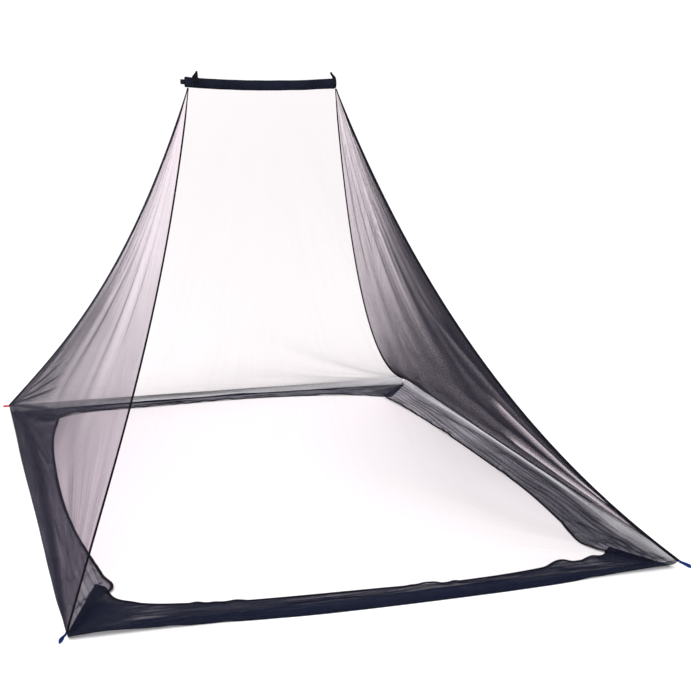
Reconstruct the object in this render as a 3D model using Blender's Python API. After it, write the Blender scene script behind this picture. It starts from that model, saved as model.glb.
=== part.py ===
"""Mosquito net canopy: a wedge of fine black net hung from a spreader bar and pegged out at four corners.

Units are metres and +Z is up. The origin is on the ground at the middle of the base. +X runs along
the front hem from the left peg to the right one, -Y is the front, and the bar lies along X overhead.

Four net walls meet in four hip seams that hang in a curve from the ends of the bar to the pegs. Each
wall carries a skirt that drops from its hem to the ground, turns inwards and ends in a bound edge.
"""

import math
from collections import namedtuple

import bmesh
import bpy
from mathutils import Vector

# --- Driving dimensions ---------------------------------------------------------------------------

BASE_WIDTH = 1.80  # between the pegs, along X
BASE_LENGTH = 2.50  # between the pegs, along Y
PEG_HEIGHT = 0.030  # the tension at the pegs holds the hems this far off the ground

BAR_HEIGHT = 1.4065  # centre line of the bar's two ends, on average
BAR_BACK = 0.232  # the bar hangs this far behind the middle of the base
BAR_DROP = 0.009  # its right end hangs this much lower than its left end
BAR_BOW = 0.0105  # and its middle is pulled down by this much
BAR_RADIUS = 0.009
BAR_LEFT = -0.299
BAR_RIGHT = 0.270
BAR_STATIONS = 8

SLEEVE_LEFT = -0.284
SLEEVE_RIGHT = 0.272
SLEEVE_HALF_DEPTH = 0.0112  # across the bar
SLEEVE_HALF_HEIGHT = 0.0180
SLEEVE_WALL = 0.0015
SLEEVE_SIDES = 16

NET_THICKNESS = 0.0012
WALL_ROWS = 18
WALL_COLUMNS = {"front": 12, "right": 18, "back": 12, "left": 18}

SEAM_DEPTH = 0.012  # the bound hip seam stands this far into the net
SEAM_TOP_DEPTH = 0.0025  # tapered where two seams meet under the bar
SEAM_THICKNESS = 0.0016
SEAM_PROUD = 0.001
HIP_LEFT = -0.273
HIP_RIGHT = 0.272
HIP_SPREAD = 0.004  # half the distance between two hips where they leave the bar

SKIRT_STATIONS = {"front": 30, "right": 24, "back": 22, "left": 26}
SKIRT_CORNER_GAP = 0.010  # the skirts' seams stop this far from the pegs
SKIRT_LAP = 0.005  # the side skirts' ends lie this far over the ends of the front and back skirts
SKIRT_RIDGE = 0.010  # height of the fold that lies along the middle of each skirt
BINDING_WIDTH = 0.009
BINDING_THICKNESS = 0.002

PEG_LOOP_LENGTH = 0.046
PEG_LOOP_HALF_WIDTH = 0.0085
PEG_LOOP_HEIGHT = 0.012
PEG_LOOP_DROP = 0.008  # from its root to its tip
PEG_LOOP_TAB = 0.008  # the two ends of the loop, sewn together
PEG_LOOP_ROOT = 0.0006  # from the peg corner to the loop's sewn ends, which lie just under the net
WEBBING = 0.0013

CLEARANCE = 0.0004  # between pieces that touch

# Each hip hangs below the straight line from the bar to its peg: sag is how far at most, skew moves
# that place towards the peg (or, below 0, towards the bar), and pull draws the hip towards the middle.
Hip = namedtuple("Hip", "side end sag skew pull")
HIPS = {
    "front_left": Hip(side=-1, end=-1, sag=0.132, skew=-0.46, pull=0.010),
    "front_right": Hip(side=1, end=-1, sag=0.194, skew=-0.08, pull=0.030),
    "back_right": Hip(side=1, end=1, sag=0.220, skew=0.09, pull=0.040),
    "back_left": Hip(side=-1, end=1, sag=0.150, skew=-0.36, pull=0.010),
}

# The four sides in turn, seen from above against the clock. lift is 1 where the skirt's ends lie over
# the ends of the skirts before and after it.
Side = namedtuple("Side", "start finish before after lift")
SIDES = {
    "front": Side("front_left", "front_right", before="left", after="right", lift=0),
    "right": Side("front_right", "back_right", before="front", after="back", lift=1),
    "back": Side("back_right", "back_left", before="right", after="left", lift=0),
    "left": Side("back_left", "front_left", before="back", after="front", lift=1),
}

# Where the inner edge of each skirt runs: a share of the hem's length, and the reach into the net.
Reach = namedtuple("Reach", "share reach")
SKIRT_EDGE = {
    "front": (
        Reach(0.078, 0.385), Reach(0.080, 0.320), Reach(0.087, 0.264), Reach(0.104, 0.228),
        Reach(0.140, 0.190), Reach(0.198, 0.163), Reach(0.288, 0.136), Reach(0.508, 0.112),
        Reach(0.631, 0.100), Reach(0.786, 0.126), Reach(0.829, 0.170), Reach(0.850, 0.147),
        Reach(0.909, 0.168), Reach(0.922, 0.188), Reach(0.930, 0.230),
    ),
    "right": (
        Reach(0.075, 0.140), Reach(0.092, 0.160), Reach(0.113, 0.175), Reach(0.154, 0.166),
        Reach(0.205, 0.145), Reach(0.336, 0.118), Reach(0.484, 0.114), Reach(0.650, 0.120),
        Reach(0.800, 0.138), Reach(0.912, 0.170),
    ),
    "back": (
        Reach(0.085, 0.225), Reach(0.180, 0.140), Reach(0.340, 0.085), Reach(0.480, 0.074),
        Reach(0.660, 0.092), Reach(0.839, 0.112), Reach(0.920, 0.215),
    ),
    "left": (
        Reach(0.080, 0.188), Reach(0.172, 0.148), Reach(0.260, 0.125), Reach(0.376, 0.109),
        Reach(0.512, 0.100), Reach(0.632, 0.105), Reach(0.748, 0.127), Reach(0.800, 0.141),
        Reach(0.834, 0.149), Reach(0.852, 0.161), Reach(0.868, 0.157), Reach(0.876, 0.146),
    ),
}

# How far each skirt's lower fold lies outside its hem. It is drawn in (under 0) towards the pegs.
Bulge = namedtuple("Bulge", "share out")
SKIRT_BULGE = {
    "front": (
        Bulge(0.00, -0.040), Bulge(0.05, -0.050), Bulge(0.10, -0.038), Bulge(0.16, -0.020),
        Bulge(0.23, -0.009), Bulge(0.30, 0.005), Bulge(0.40, 0.017), Bulge(0.57, 0.018),
        Bulge(0.73, 0.010), Bulge(0.81, -0.002), Bulge(0.89, -0.022), Bulge(1.00, -0.042),
    ),
    "right": (
        Bulge(0.00, -0.035), Bulge(0.10, -0.020), Bulge(0.25, 0.010), Bulge(0.50, 0.022),
        Bulge(0.75, 0.018), Bulge(0.90, -0.004), Bulge(1.00, -0.022),
    ),
    "back": (
        Bulge(0.00, -0.022), Bulge(0.14, 0.002), Bulge(0.50, 0.018), Bulge(0.86, 0.002),
        Bulge(1.00, -0.022),
    ),
    "left": (
        Bulge(0.00, -0.016), Bulge(0.12, -0.007), Bulge(0.30, -0.001), Bulge(0.60, -0.003),
        Bulge(0.88, -0.001), Bulge(1.00, -0.012),
    ),
}

# The skirt from its seam to its inner edge. out and drawn are shares of the bulge, where that is over
# and under 0, height is a share of the hem's height, inward is a share of the reach, and ridge a
# share of SKIRT_RIDGE. flat rows lie level.
SkirtRow = namedtuple("SkirtRow", "out drawn height inward ridge flat")
SKIRT_ROWS = (
    SkirtRow(out=0.00, drawn=0.00, height=1.00, inward=0.00, ridge=0.0, flat=False),
    SkirtRow(out=0.60, drawn=0.20, height=0.62, inward=0.00, ridge=0.0, flat=False),
    SkirtRow(out=1.00, drawn=0.60, height=0.22, inward=0.00, ridge=0.0, flat=False),
    SkirtRow(out=0.90, drawn=1.00, height=0.00, inward=0.00, ridge=0.0, flat=True),
    SkirtRow(out=0.00, drawn=0.00, height=0.00, inward=0.24, ridge=0.0, flat=True),
    SkirtRow(out=0.00, drawn=0.00, height=0.00, inward=0.46, ridge=1.0, flat=False),
    SkirtRow(out=0.00, drawn=0.00, height=0.00, inward=0.66, ridge=0.0, flat=True),
    SkirtRow(out=0.00, drawn=0.00, height=0.00, inward=1.00, ridge=0.0, flat=True),
)

# Folds of the walls. Each is a soft ridge (height over 0, outwards) or trough (under 0) on a line
# from one place to another: across from the wall's first hip to its second, down from bar to hem.
# width is the fold's half width at the line's two ends.
Fold = namedtuple("Fold", "across down to_across to_down width to_width height")
FOLDS = {
    "front": (
        Fold(0.30, 0.00, 0.24, 1.00, 0.03, 0.12, -0.014),
        Fold(0.62, 0.00, 0.70, 1.00, 0.03, 0.14, 0.016),
        Fold(0.02, 0.98, 0.46, 0.62, 0.03, 0.10, 0.014),
        Fold(0.98, 0.98, 0.60, 0.70, 0.03, 0.10, -0.014),
    ),
    "right": (
        Fold(0.30, 0.42, 0.04, 0.84, 0.02, 0.04, 0.010),
        Fold(0.02, 0.99, 0.30, 0.60, 0.02, 0.05, 0.010),
        Fold(0.02, 0.99, 0.55, 0.70, 0.03, 0.08, 0.012),
        Fold(0.02, 0.99, 0.86, 0.86, 0.03, 0.07, -0.012),
        Fold(0.52, 0.02, 0.46, 0.66, 0.02, 0.07, 0.008),
        Fold(0.76, 0.02, 0.72, 0.60, 0.02, 0.07, -0.008),
    ),
    "back": (
        Fold(0.36, 0.00, 0.34, 1.00, 0.03, 0.13, 0.014),
        Fold(0.70, 0.00, 0.76, 1.00, 0.03, 0.12, -0.014),
        Fold(0.02, 0.98, 0.40, 0.66, 0.03, 0.09, 0.012),
    ),
    "left": (
        Fold(0.18, 0.12, 0.05, 0.94, 0.02, 0.05, 0.008),
        Fold(0.40, 0.04, 0.30, 0.74, 0.02, 0.07, -0.006),
        Fold(0.62, 0.04, 0.62, 0.70, 0.02, 0.08, 0.006),
        Fold(0.02, 0.99, 0.30, 0.80, 0.02, 0.05, 0.010),
        Fold(0.02, 0.99, 0.52, 0.76, 0.03, 0.08, -0.010),
        Fold(0.98, 0.99, 0.60, 0.82, 0.03, 0.07, -0.008),
    ),
}

# The walls swell outwards a little between their hips, by this share of their width. The swelling
# begins under the bar and, from a share of the way down, dies out towards the hem.
BILLOW = {"front": 0.005, "right": 0.012, "back": 0.005, "left": 0.010}
BILLOW_BEGINS = 0.05
BILLOW_ENDS = 0.55

# Hanging loops of webbing over the sleeve. foot and width are along the bar, lean moves the tip,
# reach is the angle below the sleeve's side at which the two sewn ends stop.
HangLoop = namedtuple("HangLoop", "foot width tip_width lean reach")
HANG_LOOPS = {
    "hang_loop_left": HangLoop(foot=-0.2475, width=0.020, tip_width=0.006, lean=0.006, reach=0),
    "hang_loop_right": HangLoop(foot=0.2660, width=0.010, tip_width=0.006, lean=-0.012, reach=34),
}

# Colours are linear, and every finish here is dull.
Finish = namedtuple("Finish", "colour roughness")
FINISHES = {
    "net": Finish((0.022, 0.022, 0.028), 0.80),
    "seam_tape": Finish((0.006, 0.006, 0.009), 0.75),
    "sleeve_cloth": Finish((0.010, 0.011, 0.018), 0.70),
    "bar": Finish((0.012, 0.012, 0.012), 0.45),
    "loop_black": Finish((0.008, 0.008, 0.010), 0.70),
    "loop_blue": Finish((0.020, 0.040, 0.240), 0.65),
    "loop_red": Finish((0.620, 0.060, 0.100), 0.65),
}


# --- Small helpers --------------------------------------------------------------------------------


def clear_scene():
    for obj in list(bpy.data.objects):
        bpy.data.objects.remove(obj, do_unlink=True)


def finish(slot):
    """The material of that name, made the first time it is asked for."""
    material = bpy.data.materials.get(slot)
    if material is None:
        material = bpy.data.materials.new(slot)
        material.use_nodes = True
        shader = material.node_tree.nodes["Principled BSDF"]
        shader.inputs["Base Color"].default_value = (*FINISHES[slot].colour, 1.0)
        shader.inputs["Roughness"].default_value = FINISHES[slot].roughness
        shader.inputs["Metallic"].default_value = 0.0
    return material


def add_object(name, bm, slot):
    """Turns a closed bmesh into the object of one sub-part."""
    bmesh.ops.triangulate(bm, faces=[f for f in bm.faces if len(f.verts) > 3])
    bmesh.ops.recalc_face_normals(bm, faces=bm.faces[:])
    mesh = bpy.data.meshes.new(name)
    bm.to_mesh(mesh)
    bm.free()
    mesh.materials.append(finish(slot))
    obj = bpy.data.objects.new(name, mesh)
    bpy.context.scene.collection.objects.link(obj)
    return obj


def add_sheet(name, outer, inner, slot):
    """A sheet with a thickness, from two grids of points: both are split alike, then joined at the rim."""
    bm = bmesh.new()
    last_row, last_column = len(outer) - 1, len(outer[0]) - 1
    for points in (outer, inner):
        grid = bmesh.ops.create_grid(bm, x_segments=last_column, y_segments=last_row, size=1.0)
        for vert in grid["verts"]:
            column = round((vert.co.x + 1) / 2 * last_column)
            row = round((vert.co.y + 1) / 2 * last_row)
            vert.co = points[row][column]
    bmesh.ops.triangulate(bm, faces=bm.faces[:], quad_method="FIXED")
    bmesh.ops.bridge_loops(bm, edges=[e for e in bm.edges if e.is_boundary])
    return add_object(name, bm, slot)


def add_loft(name, rings, slot, closed=False):
    """A solid through rings of points. It is capped at both ends, or closed on itself like a hoop."""
    bm = bmesh.new()
    loops = [[bm.verts.new(point) for point in ring] for ring in rings]
    for loop in loops:
        for here, there in zip(loop, loop[1:] + loop[:1]):
            bm.edges.new((here, there))
    pairs = list(zip(loops, loops[1:]))
    if closed:
        pairs.append((loops[-1], loops[0]))
    else:
        bm.faces.new(loops[0])
        bm.faces.new(loops[-1])
    for first, second in pairs:
        for k in range(len(first)):
            after = (k + 1) % len(first)
            bm.faces.new((first[k], first[after], second[after], second[k]))
    return add_object(name, bm, slot)


def smooth(value):
    """Eases from 0 to 1."""
    value = min(max(value, 0.0), 1.0)
    return value * value * (3 - 2 * value)


def ring_angles(count):
    """Angles round a ring, turned so that it has a flat at its top and one at its bottom."""
    return [2 * math.pi * (k + 0.5) / count for k in range(count)]


# --- The bar and its sleeve -----------------------------------------------------------------------


def bar_point(x):
    """A point of the bar's centre line: it droops to the right and bows in the middle."""
    half = (BAR_RIGHT - BAR_LEFT) / 2
    share = (x - (BAR_LEFT + BAR_RIGHT) / 2) / half
    height = BAR_HEIGHT - BAR_DROP / 2 * share - BAR_BOW * (1 - share * share)
    return Vector((x, BAR_BACK, height))


def sleeve_axis(x):
    """Height of the sleeve's centre line, which is straight from one station to the next."""
    step = (SLEEVE_RIGHT - SLEEVE_LEFT) / BAR_STATIONS
    at = min(max((x - SLEEVE_LEFT) / step, 0), BAR_STATIONS - 1e-6)
    left = SLEEVE_LEFT + step * math.floor(at)
    share = (x - left) / step
    return bar_point(left).z * (1 - share) + bar_point(left + step).z * share


def oval(centre, half_depth, half_height, angles):
    return [
        centre + Vector((0, half_depth * math.cos(angle), half_height * math.sin(angle)))
        for angle in angles
    ]


def bar_stations(left, right):
    return [left + (right - left) * k / BAR_STATIONS for k in range(BAR_STATIONS + 1)]


def add_bar():
    inside = bar_stations(SLEEVE_LEFT, SLEEVE_RIGHT)[:-1]
    angles = ring_angles(SLEEVE_SIDES)
    rings = [
        oval(bar_point(x), BAR_RADIUS, BAR_RADIUS, angles) for x in [BAR_LEFT, *inside, BAR_RIGHT]
    ]
    return add_loft("spreader_bar", rings, "bar")


def add_sleeve():
    """A flat tube of cloth round the bar, open at both ends."""
    angles = ring_angles(SLEEVE_SIDES)
    centres = [bar_point(x) for x in bar_stations(SLEEVE_LEFT, SLEEVE_RIGHT)]
    outside = [oval(c, SLEEVE_HALF_DEPTH, SLEEVE_HALF_HEIGHT, angles) for c in centres]
    depth, height = SLEEVE_HALF_DEPTH - SLEEVE_WALL, SLEEVE_HALF_HEIGHT - SLEEVE_WALL
    inside = [oval(c, depth, height, angles) for c in reversed(centres)]
    return add_loft("top_sleeve", outside + inside, "sleeve_cloth", closed=True)


def sleeve_bottom(x):
    """Height of the sleeve's lower edge, where the front and back walls are sewn on."""
    return sleeve_axis(x) - SLEEVE_HALF_HEIGHT * math.cos(math.pi / SLEEVE_SIDES)


# --- The hips -------------------------------------------------------------------------------------


def peg_point(hip):
    return Vector((hip.side * BASE_WIDTH / 2, hip.end * BASE_LENGTH / 2, PEG_HEIGHT))


def hip_top(hip):
    x = HIP_LEFT if hip.side < 0 else HIP_RIGHT
    return Vector((x, BAR_BACK + hip.end * HIP_SPREAD, sleeve_bottom(x) - CLEARANCE))


def hip_point(hip, down):
    hang = 4 * down * (1 - down) * (1 + hip.skew * (2 * down - 1))
    point = hip_top(hip).lerp(peg_point(hip), down)
    return point - Vector((hip.side * hip.pull * hang, 0, hip.sag * hang))


def wall_rows():
    """Shares of the way down, closer together under the bar where the walls are narrow."""
    return [(k / WALL_ROWS) ** 1.2 for k in range(WALL_ROWS + 1)]


class Ridge:
    """One hip at one height: its place, its run downwards, and the plane that its seam stands in."""

    def __init__(self, name, down):
        hip = HIPS[name]
        step = 0.001
        self.point = hip_point(hip, down)
        above, below = hip_point(hip, max(down - step, 0)), hip_point(hip, min(down + step, 1))
        self.run = (below - above).normalized()
        across = self.square(Vector((-hip.side, 0, 0)))
        along = self.square(Vector((0, -hip.end, 0)))
        self.inward = (across + along).normalized()
        self.face = self.run.cross(self.inward)
        if self.face.dot(across) < 0:
            self.face.negate()

    def square(self, direction):
        """The part of a direction that is square to the hip."""
        return (direction - self.run * direction.dot(self.run)).normalized()


def add_hip_seam(name):
    """The bound seam: a narrow tape that stands into the net between the edges of two walls."""
    downs = wall_rows()
    rings = []
    for k, down in enumerate(downs):
        ridge = Ridge(name, down)
        depth = SEAM_TOP_DEPTH if k == 0 else SEAM_DEPTH
        side = ridge.face * SEAM_THICKNESS / 2
        near = ridge.point - ridge.inward * SEAM_PROUD
        far = ridge.point + ridge.inward * depth
        rings.append([near - side, near + side, far + side, far - side])
    drop = 0.04  # of the first stretch, so that the seam stays clear of the sleeve
    rings[0] = [high.lerp(low, drop) for high, low in zip(rings[0], rings[1])]
    return add_loft(f"hip_seam_{name}", rings, "seam_tape")


# --- The walls ------------------------------------------------------------------------------------


def flat_place(across, down, widths, slant):
    """Where a share across and a share down lie on the wall laid out flat, in metres."""
    row = down * (len(widths) - 1)
    k = min(int(row), len(widths) - 2)
    width = widths[k] + (widths[k + 1] - widths[k]) * (row - k)
    return Vector(((across - 0.5) * width, down * slant))


def fold_height(side, place, widths, slant):
    """How far the folds move a point of the wall outwards."""
    total = 0.0
    for fold in FOLDS[side]:
        start = flat_place(fold.across, fold.down, widths, slant)
        line = flat_place(fold.to_across, fold.to_down, widths, slant) - start
        share = min(max((place - start).dot(line) / line.length_squared, 0.0), 1.0)
        distance = (place - start - line * share).length
        width = fold.width + (fold.to_width - fold.width) * share
        swell = math.sin(math.pi * (0.08 + 0.84 * share))
        total += fold.height * swell * math.exp(-((distance / width) ** 2))
    return total


def billow(side, across, down):
    """How far the wall swells outwards, as a share of its width."""
    fading = smooth((down - BILLOW_ENDS) / (1 - BILLOW_ENDS))
    return BILLOW[side] * math.sin(math.pi * across) * smooth(down / BILLOW_BEGINS) * (1 - fading)


def edge_pair(ridge, along, outward, level):
    """The outer and inner corner of a wall's side edge, cut parallel to the seam that it meets.

    level is True in the top and bottom rows, whose edges are cut level."""
    gap = SEAM_THICKNESS / 2 + CLEARANCE
    towards = ridge.face if along.dot(ridge.face) > 0 else -ridge.face
    half = outward * NET_THICKNESS / 2
    if level:
        flat = Vector((outward.x, outward.y, 0))
        half = flat * NET_THICKNESS / 2 / flat.length_squared
    pair = []
    for point in (ridge.point + half, ridge.point - half):
        short = gap - (point - ridge.point).dot(towards)
        pair.append(point + along * short / along.dot(towards))
    return pair


def wall_edges(side, down, level):
    """Both side edges of one row of a wall, and the wall's outward direction at each."""
    start, finish_ = Ridge(SIDES[side].start, down), Ridge(SIDES[side].finish, down)
    along = (finish_.point - start.point).normalized()
    ends = []
    for ridge, inwards in ((start, along), (finish_, -along)):
        outward = along.cross(-ridge.run).normalized()
        ends.append((edge_pair(ridge, inwards, outward, level), outward))
    return ends


def add_wall(side):
    columns = WALL_COLUMNS[side]
    downs = wall_rows()
    starts = [Ridge(SIDES[side].start, k / WALL_ROWS).point for k in range(WALL_ROWS + 1)]
    finishes = [Ridge(SIDES[side].finish, k / WALL_ROWS).point for k in range(WALL_ROWS + 1)]
    widths = [(b - a).length for a, b in zip(starts, finishes)]
    middles = [(a + b) / 2 for a, b in zip(starts, finishes)]
    slant = sum((b - a).length for a, b in zip(middles, middles[1:]))
    outer, inner = [], []
    for row, down in enumerate(downs):
        level = row in (0, WALL_ROWS)
        (first, out_a), (last, out_b) = wall_edges(side, down, level)
        hem_or_top = CLEARANCE / 2 if row == WALL_ROWS else 0.0
        rows = ([], [])
        for column in range(columns + 1):
            across = column / columns
            place = flat_place(across, down, widths, slant)
            held = smooth(across * columns / 1.5) * smooth((1 - across) * columns / 1.5)
            held *= smooth((1 - down) * WALL_ROWS / 1.5) * smooth(down * WALL_ROWS / 1.5)
            height = held * fold_height(side, place, widths, slant)
            height += billow(side, across, down) * (last[0] - first[0]).length
            move = out_a.lerp(out_b, across).normalized() * height
            for points, a, b in zip(rows, first, last):
                point = a.lerp(b, across) + move
                point.z += hem_or_top
                points.append(point)
        if row == 0 and side in ("front", "back"):
            rows = seat_under_sleeve(side, rows)
        outer.append(rows[0])
        inner.append(rows[1])
    return add_sheet(f"{side}_wall", outer, inner, "net")


def seat_under_sleeve(side, rows):
    """Moves a wall's top edge to the middle of the sleeve's lower edge, which it follows."""
    end = -1 if side == "front" else 1
    near, far = CLEARANCE, CLEARANCE + NET_THICKNESS
    seated = []
    for points, offset in zip(rows, (far, near)):
        line = []
        last = len(points) - 1
        for k, point in enumerate(points):
            ease = smooth(k / 1.5) * smooth((last - k) / 1.5)
            y = point.y + (BAR_BACK + end * offset - point.y) * ease
            line.append(Vector((point.x, y, sleeve_bottom(point.x) - CLEARANCE)))
        seated.append(line)
    return seated


# --- The skirts -----------------------------------------------------------------------------------


def along_curve(points, places, at):
    """The point at one place of a smooth curve, which passes each point at its own place."""
    k = max(i for i in range(len(places) - 1) if places[i] <= at + 1e-9)
    left, right = max(k - 1, 0), min(k + 2, len(places) - 1)
    span = places[k + 1] - places[k]
    slope_k = (points[k + 1] - points[left]) * (span / (places[k + 1] - places[left]))
    slope_next = (points[right] - points[k]) * (span / (places[right] - places[k]))
    t = min(max((at - places[k]) / span, 0.0), 1.0)
    return (
        points[k] * (2 * t**3 - 3 * t**2 + 1)
        + slope_k * (t**3 - 2 * t**2 + t)
        + points[k + 1] * (3 * t**2 - 2 * t**3)
        + slope_next * (t**3 - t**2)
    )


class Hem:
    """One side of the base: where it starts, its direction, and the way in."""

    def __init__(self, side):
        self.side = side
        start, finish_ = peg_point(HIPS[SIDES[side].start]), peg_point(HIPS[SIDES[side].finish])
        self.start = Vector((start.x, start.y, 0))
        self.length = (finish_ - start).length
        self.along = (finish_ - start).normalized()
        self.inward = Vector((-self.along.y, self.along.x, 0))
        self.edge = [Vector((row.share * self.length, row.reach)) for row in SKIRT_EDGE[side]]
        self.edge_places = [0.0]
        for here, there in zip(self.edge, self.edge[1:]):
            self.edge_places.append(self.edge_places[-1] + (there - here).length)

    def at(self, distance, inward, height):
        return self.start + self.along * distance + self.inward * inward + Vector((0, 0, height))

    def inner_edge(self, share):
        """Distance along the hem, and reach into the net, of the skirt's inner edge."""
        return along_curve(self.edge, self.edge_places, share * self.edge_places[-1])

    def bulge(self, share):
        rows = SKIRT_BULGE[self.side]
        return along_curve([row.out for row in rows], [row.share for row in rows], share)

    def lap(self, distance, inward):
        """How far the skirt lies off the ground, over the ends of its neighbours."""
        side = SIDES[self.side]
        before, after = SKIRT_EDGE[side.before][-1].reach, SKIRT_EDGE[side.after][0].reach
        covered = max(
            smooth((before + 0.08 - distance) / 0.06),
            smooth((after + 0.08 - (self.length - distance)) / 0.06),
        )
        return side.lift * SKIRT_LAP * covered * smooth(inward / 0.03)


def skirt_point(hem, share, row):
    """A point of the skirt's middle surface."""
    top = SKIRT_CORNER_GAP + (hem.length - 2 * SKIRT_CORNER_GAP) * share
    distance, reach = hem.inner_edge(share)
    if row.inward == 0:
        bulge = hem.bulge(share)
        drawn_in = max(-bulge, 0) * row.drawn
        top += (distance - top) * drawn_in / reach
        height = NET_THICKNESS / 2 + (PEG_HEIGHT - NET_THICKNESS / 2 - CLEARANCE / 2) * row.height
        point = hem.at(top, drawn_in - max(bulge, 0) * row.out, height)
        point.z += hem.lap(top, drawn_in) * (1 - row.height)
        return point
    fold = skirt_point(hem, share, SKIRT_ROWS[3])
    edge = hem.at(distance, reach, 0)
    point = fold.lerp(edge, row.inward)
    wander = 0.7 + 0.3 * math.sin(7 * math.pi * share + len(hem.side))
    from_end = min(share, 1 - share)
    ridge = SKIRT_RIDGE * row.ridge * wander * smooth((from_end - 0.14) / 0.12)
    place = point - hem.start
    lap = hem.lap(place.dot(hem.along), place.dot(hem.inward))
    point.z = NET_THICKNESS / 2 + ridge + lap
    return point


def add_skirt(side):
    hem = Hem(side)
    count = SKIRT_STATIONS[side]
    shares = [k / count for k in range(count + 1)]
    middle = [[skirt_point(hem, share, row) for share in shares] for row in SKIRT_ROWS]
    outer, inner = [], []
    for i, row in enumerate(SKIRT_ROWS):
        above, below = middle[max(i - 1, 0)], middle[min(i + 1, len(middle) - 1)]
        lines = ([], [])
        for k, point in enumerate(middle[i]):
            across = below[k] - above[k]
            out = hem.along.cross(across).normalized() * NET_THICKNESS / 2
            if row.flat:
                out = Vector((0, 0, NET_THICKNESS / 2))
            elif i == 0:
                out = hem.inward * math.copysign(NET_THICKNESS / 2, out.dot(hem.inward))
            lines[0].append(point + out)
            lines[1].append(point - out)
        outer.append(lines[0])
        inner.append(lines[1])
    return add_sheet(f"{side}_skirt", outer, inner, "net")


def add_binding(side):
    """The tape folded over the skirt's inner edge."""
    hem = Hem(side)
    count = SKIRT_STATIONS[side]
    shares = [k / count for k in range(count + 1)]
    edge = [skirt_point(hem, share, SKIRT_ROWS[-1]) for share in shares]
    rings = []
    for k, point in enumerate(edge):
        run = edge[min(k + 1, count)] - edge[max(k - 1, 0)]
        run.z = 0
        away = Vector((-run.y, run.x, 0)).normalized()
        near = point + away * CLEARANCE
        near.z = point.z - NET_THICKNESS / 2
        far = near + away * BINDING_WIDTH
        rise = Vector((0, 0, BINDING_THICKNESS))
        rings.append([near, far, far + rise, near + rise])
    return add_loft(f"{side}_skirt_binding", rings, "seam_tape")


# --- The loops ------------------------------------------------------------------------------------


def add_hang_loop(name):
    """A strip of webbing sewn to the front and back of the sleeve, with an eye above it."""
    loop = HANG_LOOPS[name]
    seat = CLEARANCE + WEBBING / 2
    depth, height = SLEEVE_HALF_DEPTH + seat, SLEEVE_HALF_HEIGHT + seat
    angles = [a for a in ring_angles(SLEEVE_SIDES) if math.radians(-loop.reach - 1) < a < 1.2]
    if loop.reach:
        angles = [a - 2 * math.pi for a in ring_angles(SLEEVE_SIDES)[-2:]] + angles
    half = [(depth * math.cos(a), height * math.sin(a)) for a in angles]
    half += [(0.0062, 0.0235), (0.0056, 0.0300), (0.0040, 0.0360), (0.0016, 0.0402)]
    path = [(-y, z) for y, z in half] + [(y, z) for y, z in reversed(half)]
    tip = max(z for _, z in path)
    rings = []
    for k, (y, z) in enumerate(path):
        before, after = path[max(k - 1, 0)], path[min(k + 1, len(path) - 1)]
        run = Vector((0, after[0] - before[0], after[1] - before[1])).normalized()
        out = run.cross(Vector((1, 0, 0))) * WEBBING / 2
        rise = smooth((z - SLEEVE_HALF_HEIGHT) / (tip - SLEEVE_HALF_HEIGHT))
        width = loop.width + (loop.tip_width - loop.width) * rise
        middle = loop.foot + loop.lean * rise
        ring = []
        for side, layer in ((-0.5, -1), (0.5, -1), (0.5, 1), (-0.5, 1)):
            x = middle + width * side
            ring.append(Vector((x, BAR_BACK + y, sleeve_axis(x) + z)) + out * layer)
        rings.append(ring)
    return add_loft(name, rings, "loop_black")


def add_peg_loop(name):
    """A strip of webbing on edge, folded back on itself, whose eye takes the peg from above."""
    hip = HIPS[name]
    outward = Vector((hip.side * 0.55, hip.end * 0.83, 0)).normalized()
    across = Vector((-outward.y, outward.x, 0))
    root = peg_point(hip) + outward * PEG_LOOP_ROOT
    count = 14
    rings = []
    eye = PEG_LOOP_LENGTH - PEG_LOOP_TAB - WEBBING
    for angle in (2 * math.pi * (k + 0.5) / count for k in range(count)):
        pinch = abs(math.sin(angle / 2)) ** 1.2
        reach = PEG_LOOP_TAB + eye * (1 - math.cos(angle)) / 2
        spread = PEG_LOOP_HALF_WIDTH * math.sin(angle) * pinch
        turn = Vector((-math.cos(angle) * pinch - (1 - pinch) * 0.2, math.sin(angle))).normalized()
        ends = angle < 0.3 or angle > 2 * math.pi - 0.3
        outer_reach = 0.0 if ends else reach + WEBBING * turn.x
        outer_spread = spread + WEBBING * turn.y * (1.2 if ends else 1.0)
        ring = []
        for at, wide, rise in (
            (reach, spread, -0.5), (outer_reach, outer_spread, -0.5),
            (outer_reach, outer_spread, 0.5), (reach, spread, 0.5),
        ):
            point = root + outward * at + across * wide
            point.z += PEG_LOOP_HEIGHT * (rise - 0.5) - CLEARANCE / 2
            point.z -= PEG_LOOP_DROP * at / PEG_LOOP_LENGTH
            ring.append(point)
        rings.append(ring)
    slot = "loop_blue" if hip.end < 0 else "loop_red"
    return add_loft(f"peg_loop_{name}", rings, slot, closed=True)


# --- The whole canopy -----------------------------------------------------------------------------


def build():
    clear_scene()
    add_bar()
    add_sleeve()
    for name in HANG_LOOPS:
        add_hang_loop(name)
    for name in HIPS:
        add_hip_seam(name)
        add_peg_loop(name)
    for side in SIDES:
        add_wall(side)
        add_skirt(side)
        add_binding(side)


build()
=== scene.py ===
# %% [markdown]
# # A mosquito net canopy, dressed for its photograph
# The real thing is a wedge of fine black net. It hangs from a short bar in a sleeve, is pegged out
# at four corners, and has a strip of the same net along each hem, which lies on the ground and
# turns inwards. The imported model gives every piece its place. This lesson puts the cloth over it:
# net that shows its gathers and folds, narrow tapes, webbing loops, and the finishes of all of
# them.

# %% Load the imported model and keep its pieces
import math

import bmesh
import bpy
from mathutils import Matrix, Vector, noise


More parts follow.
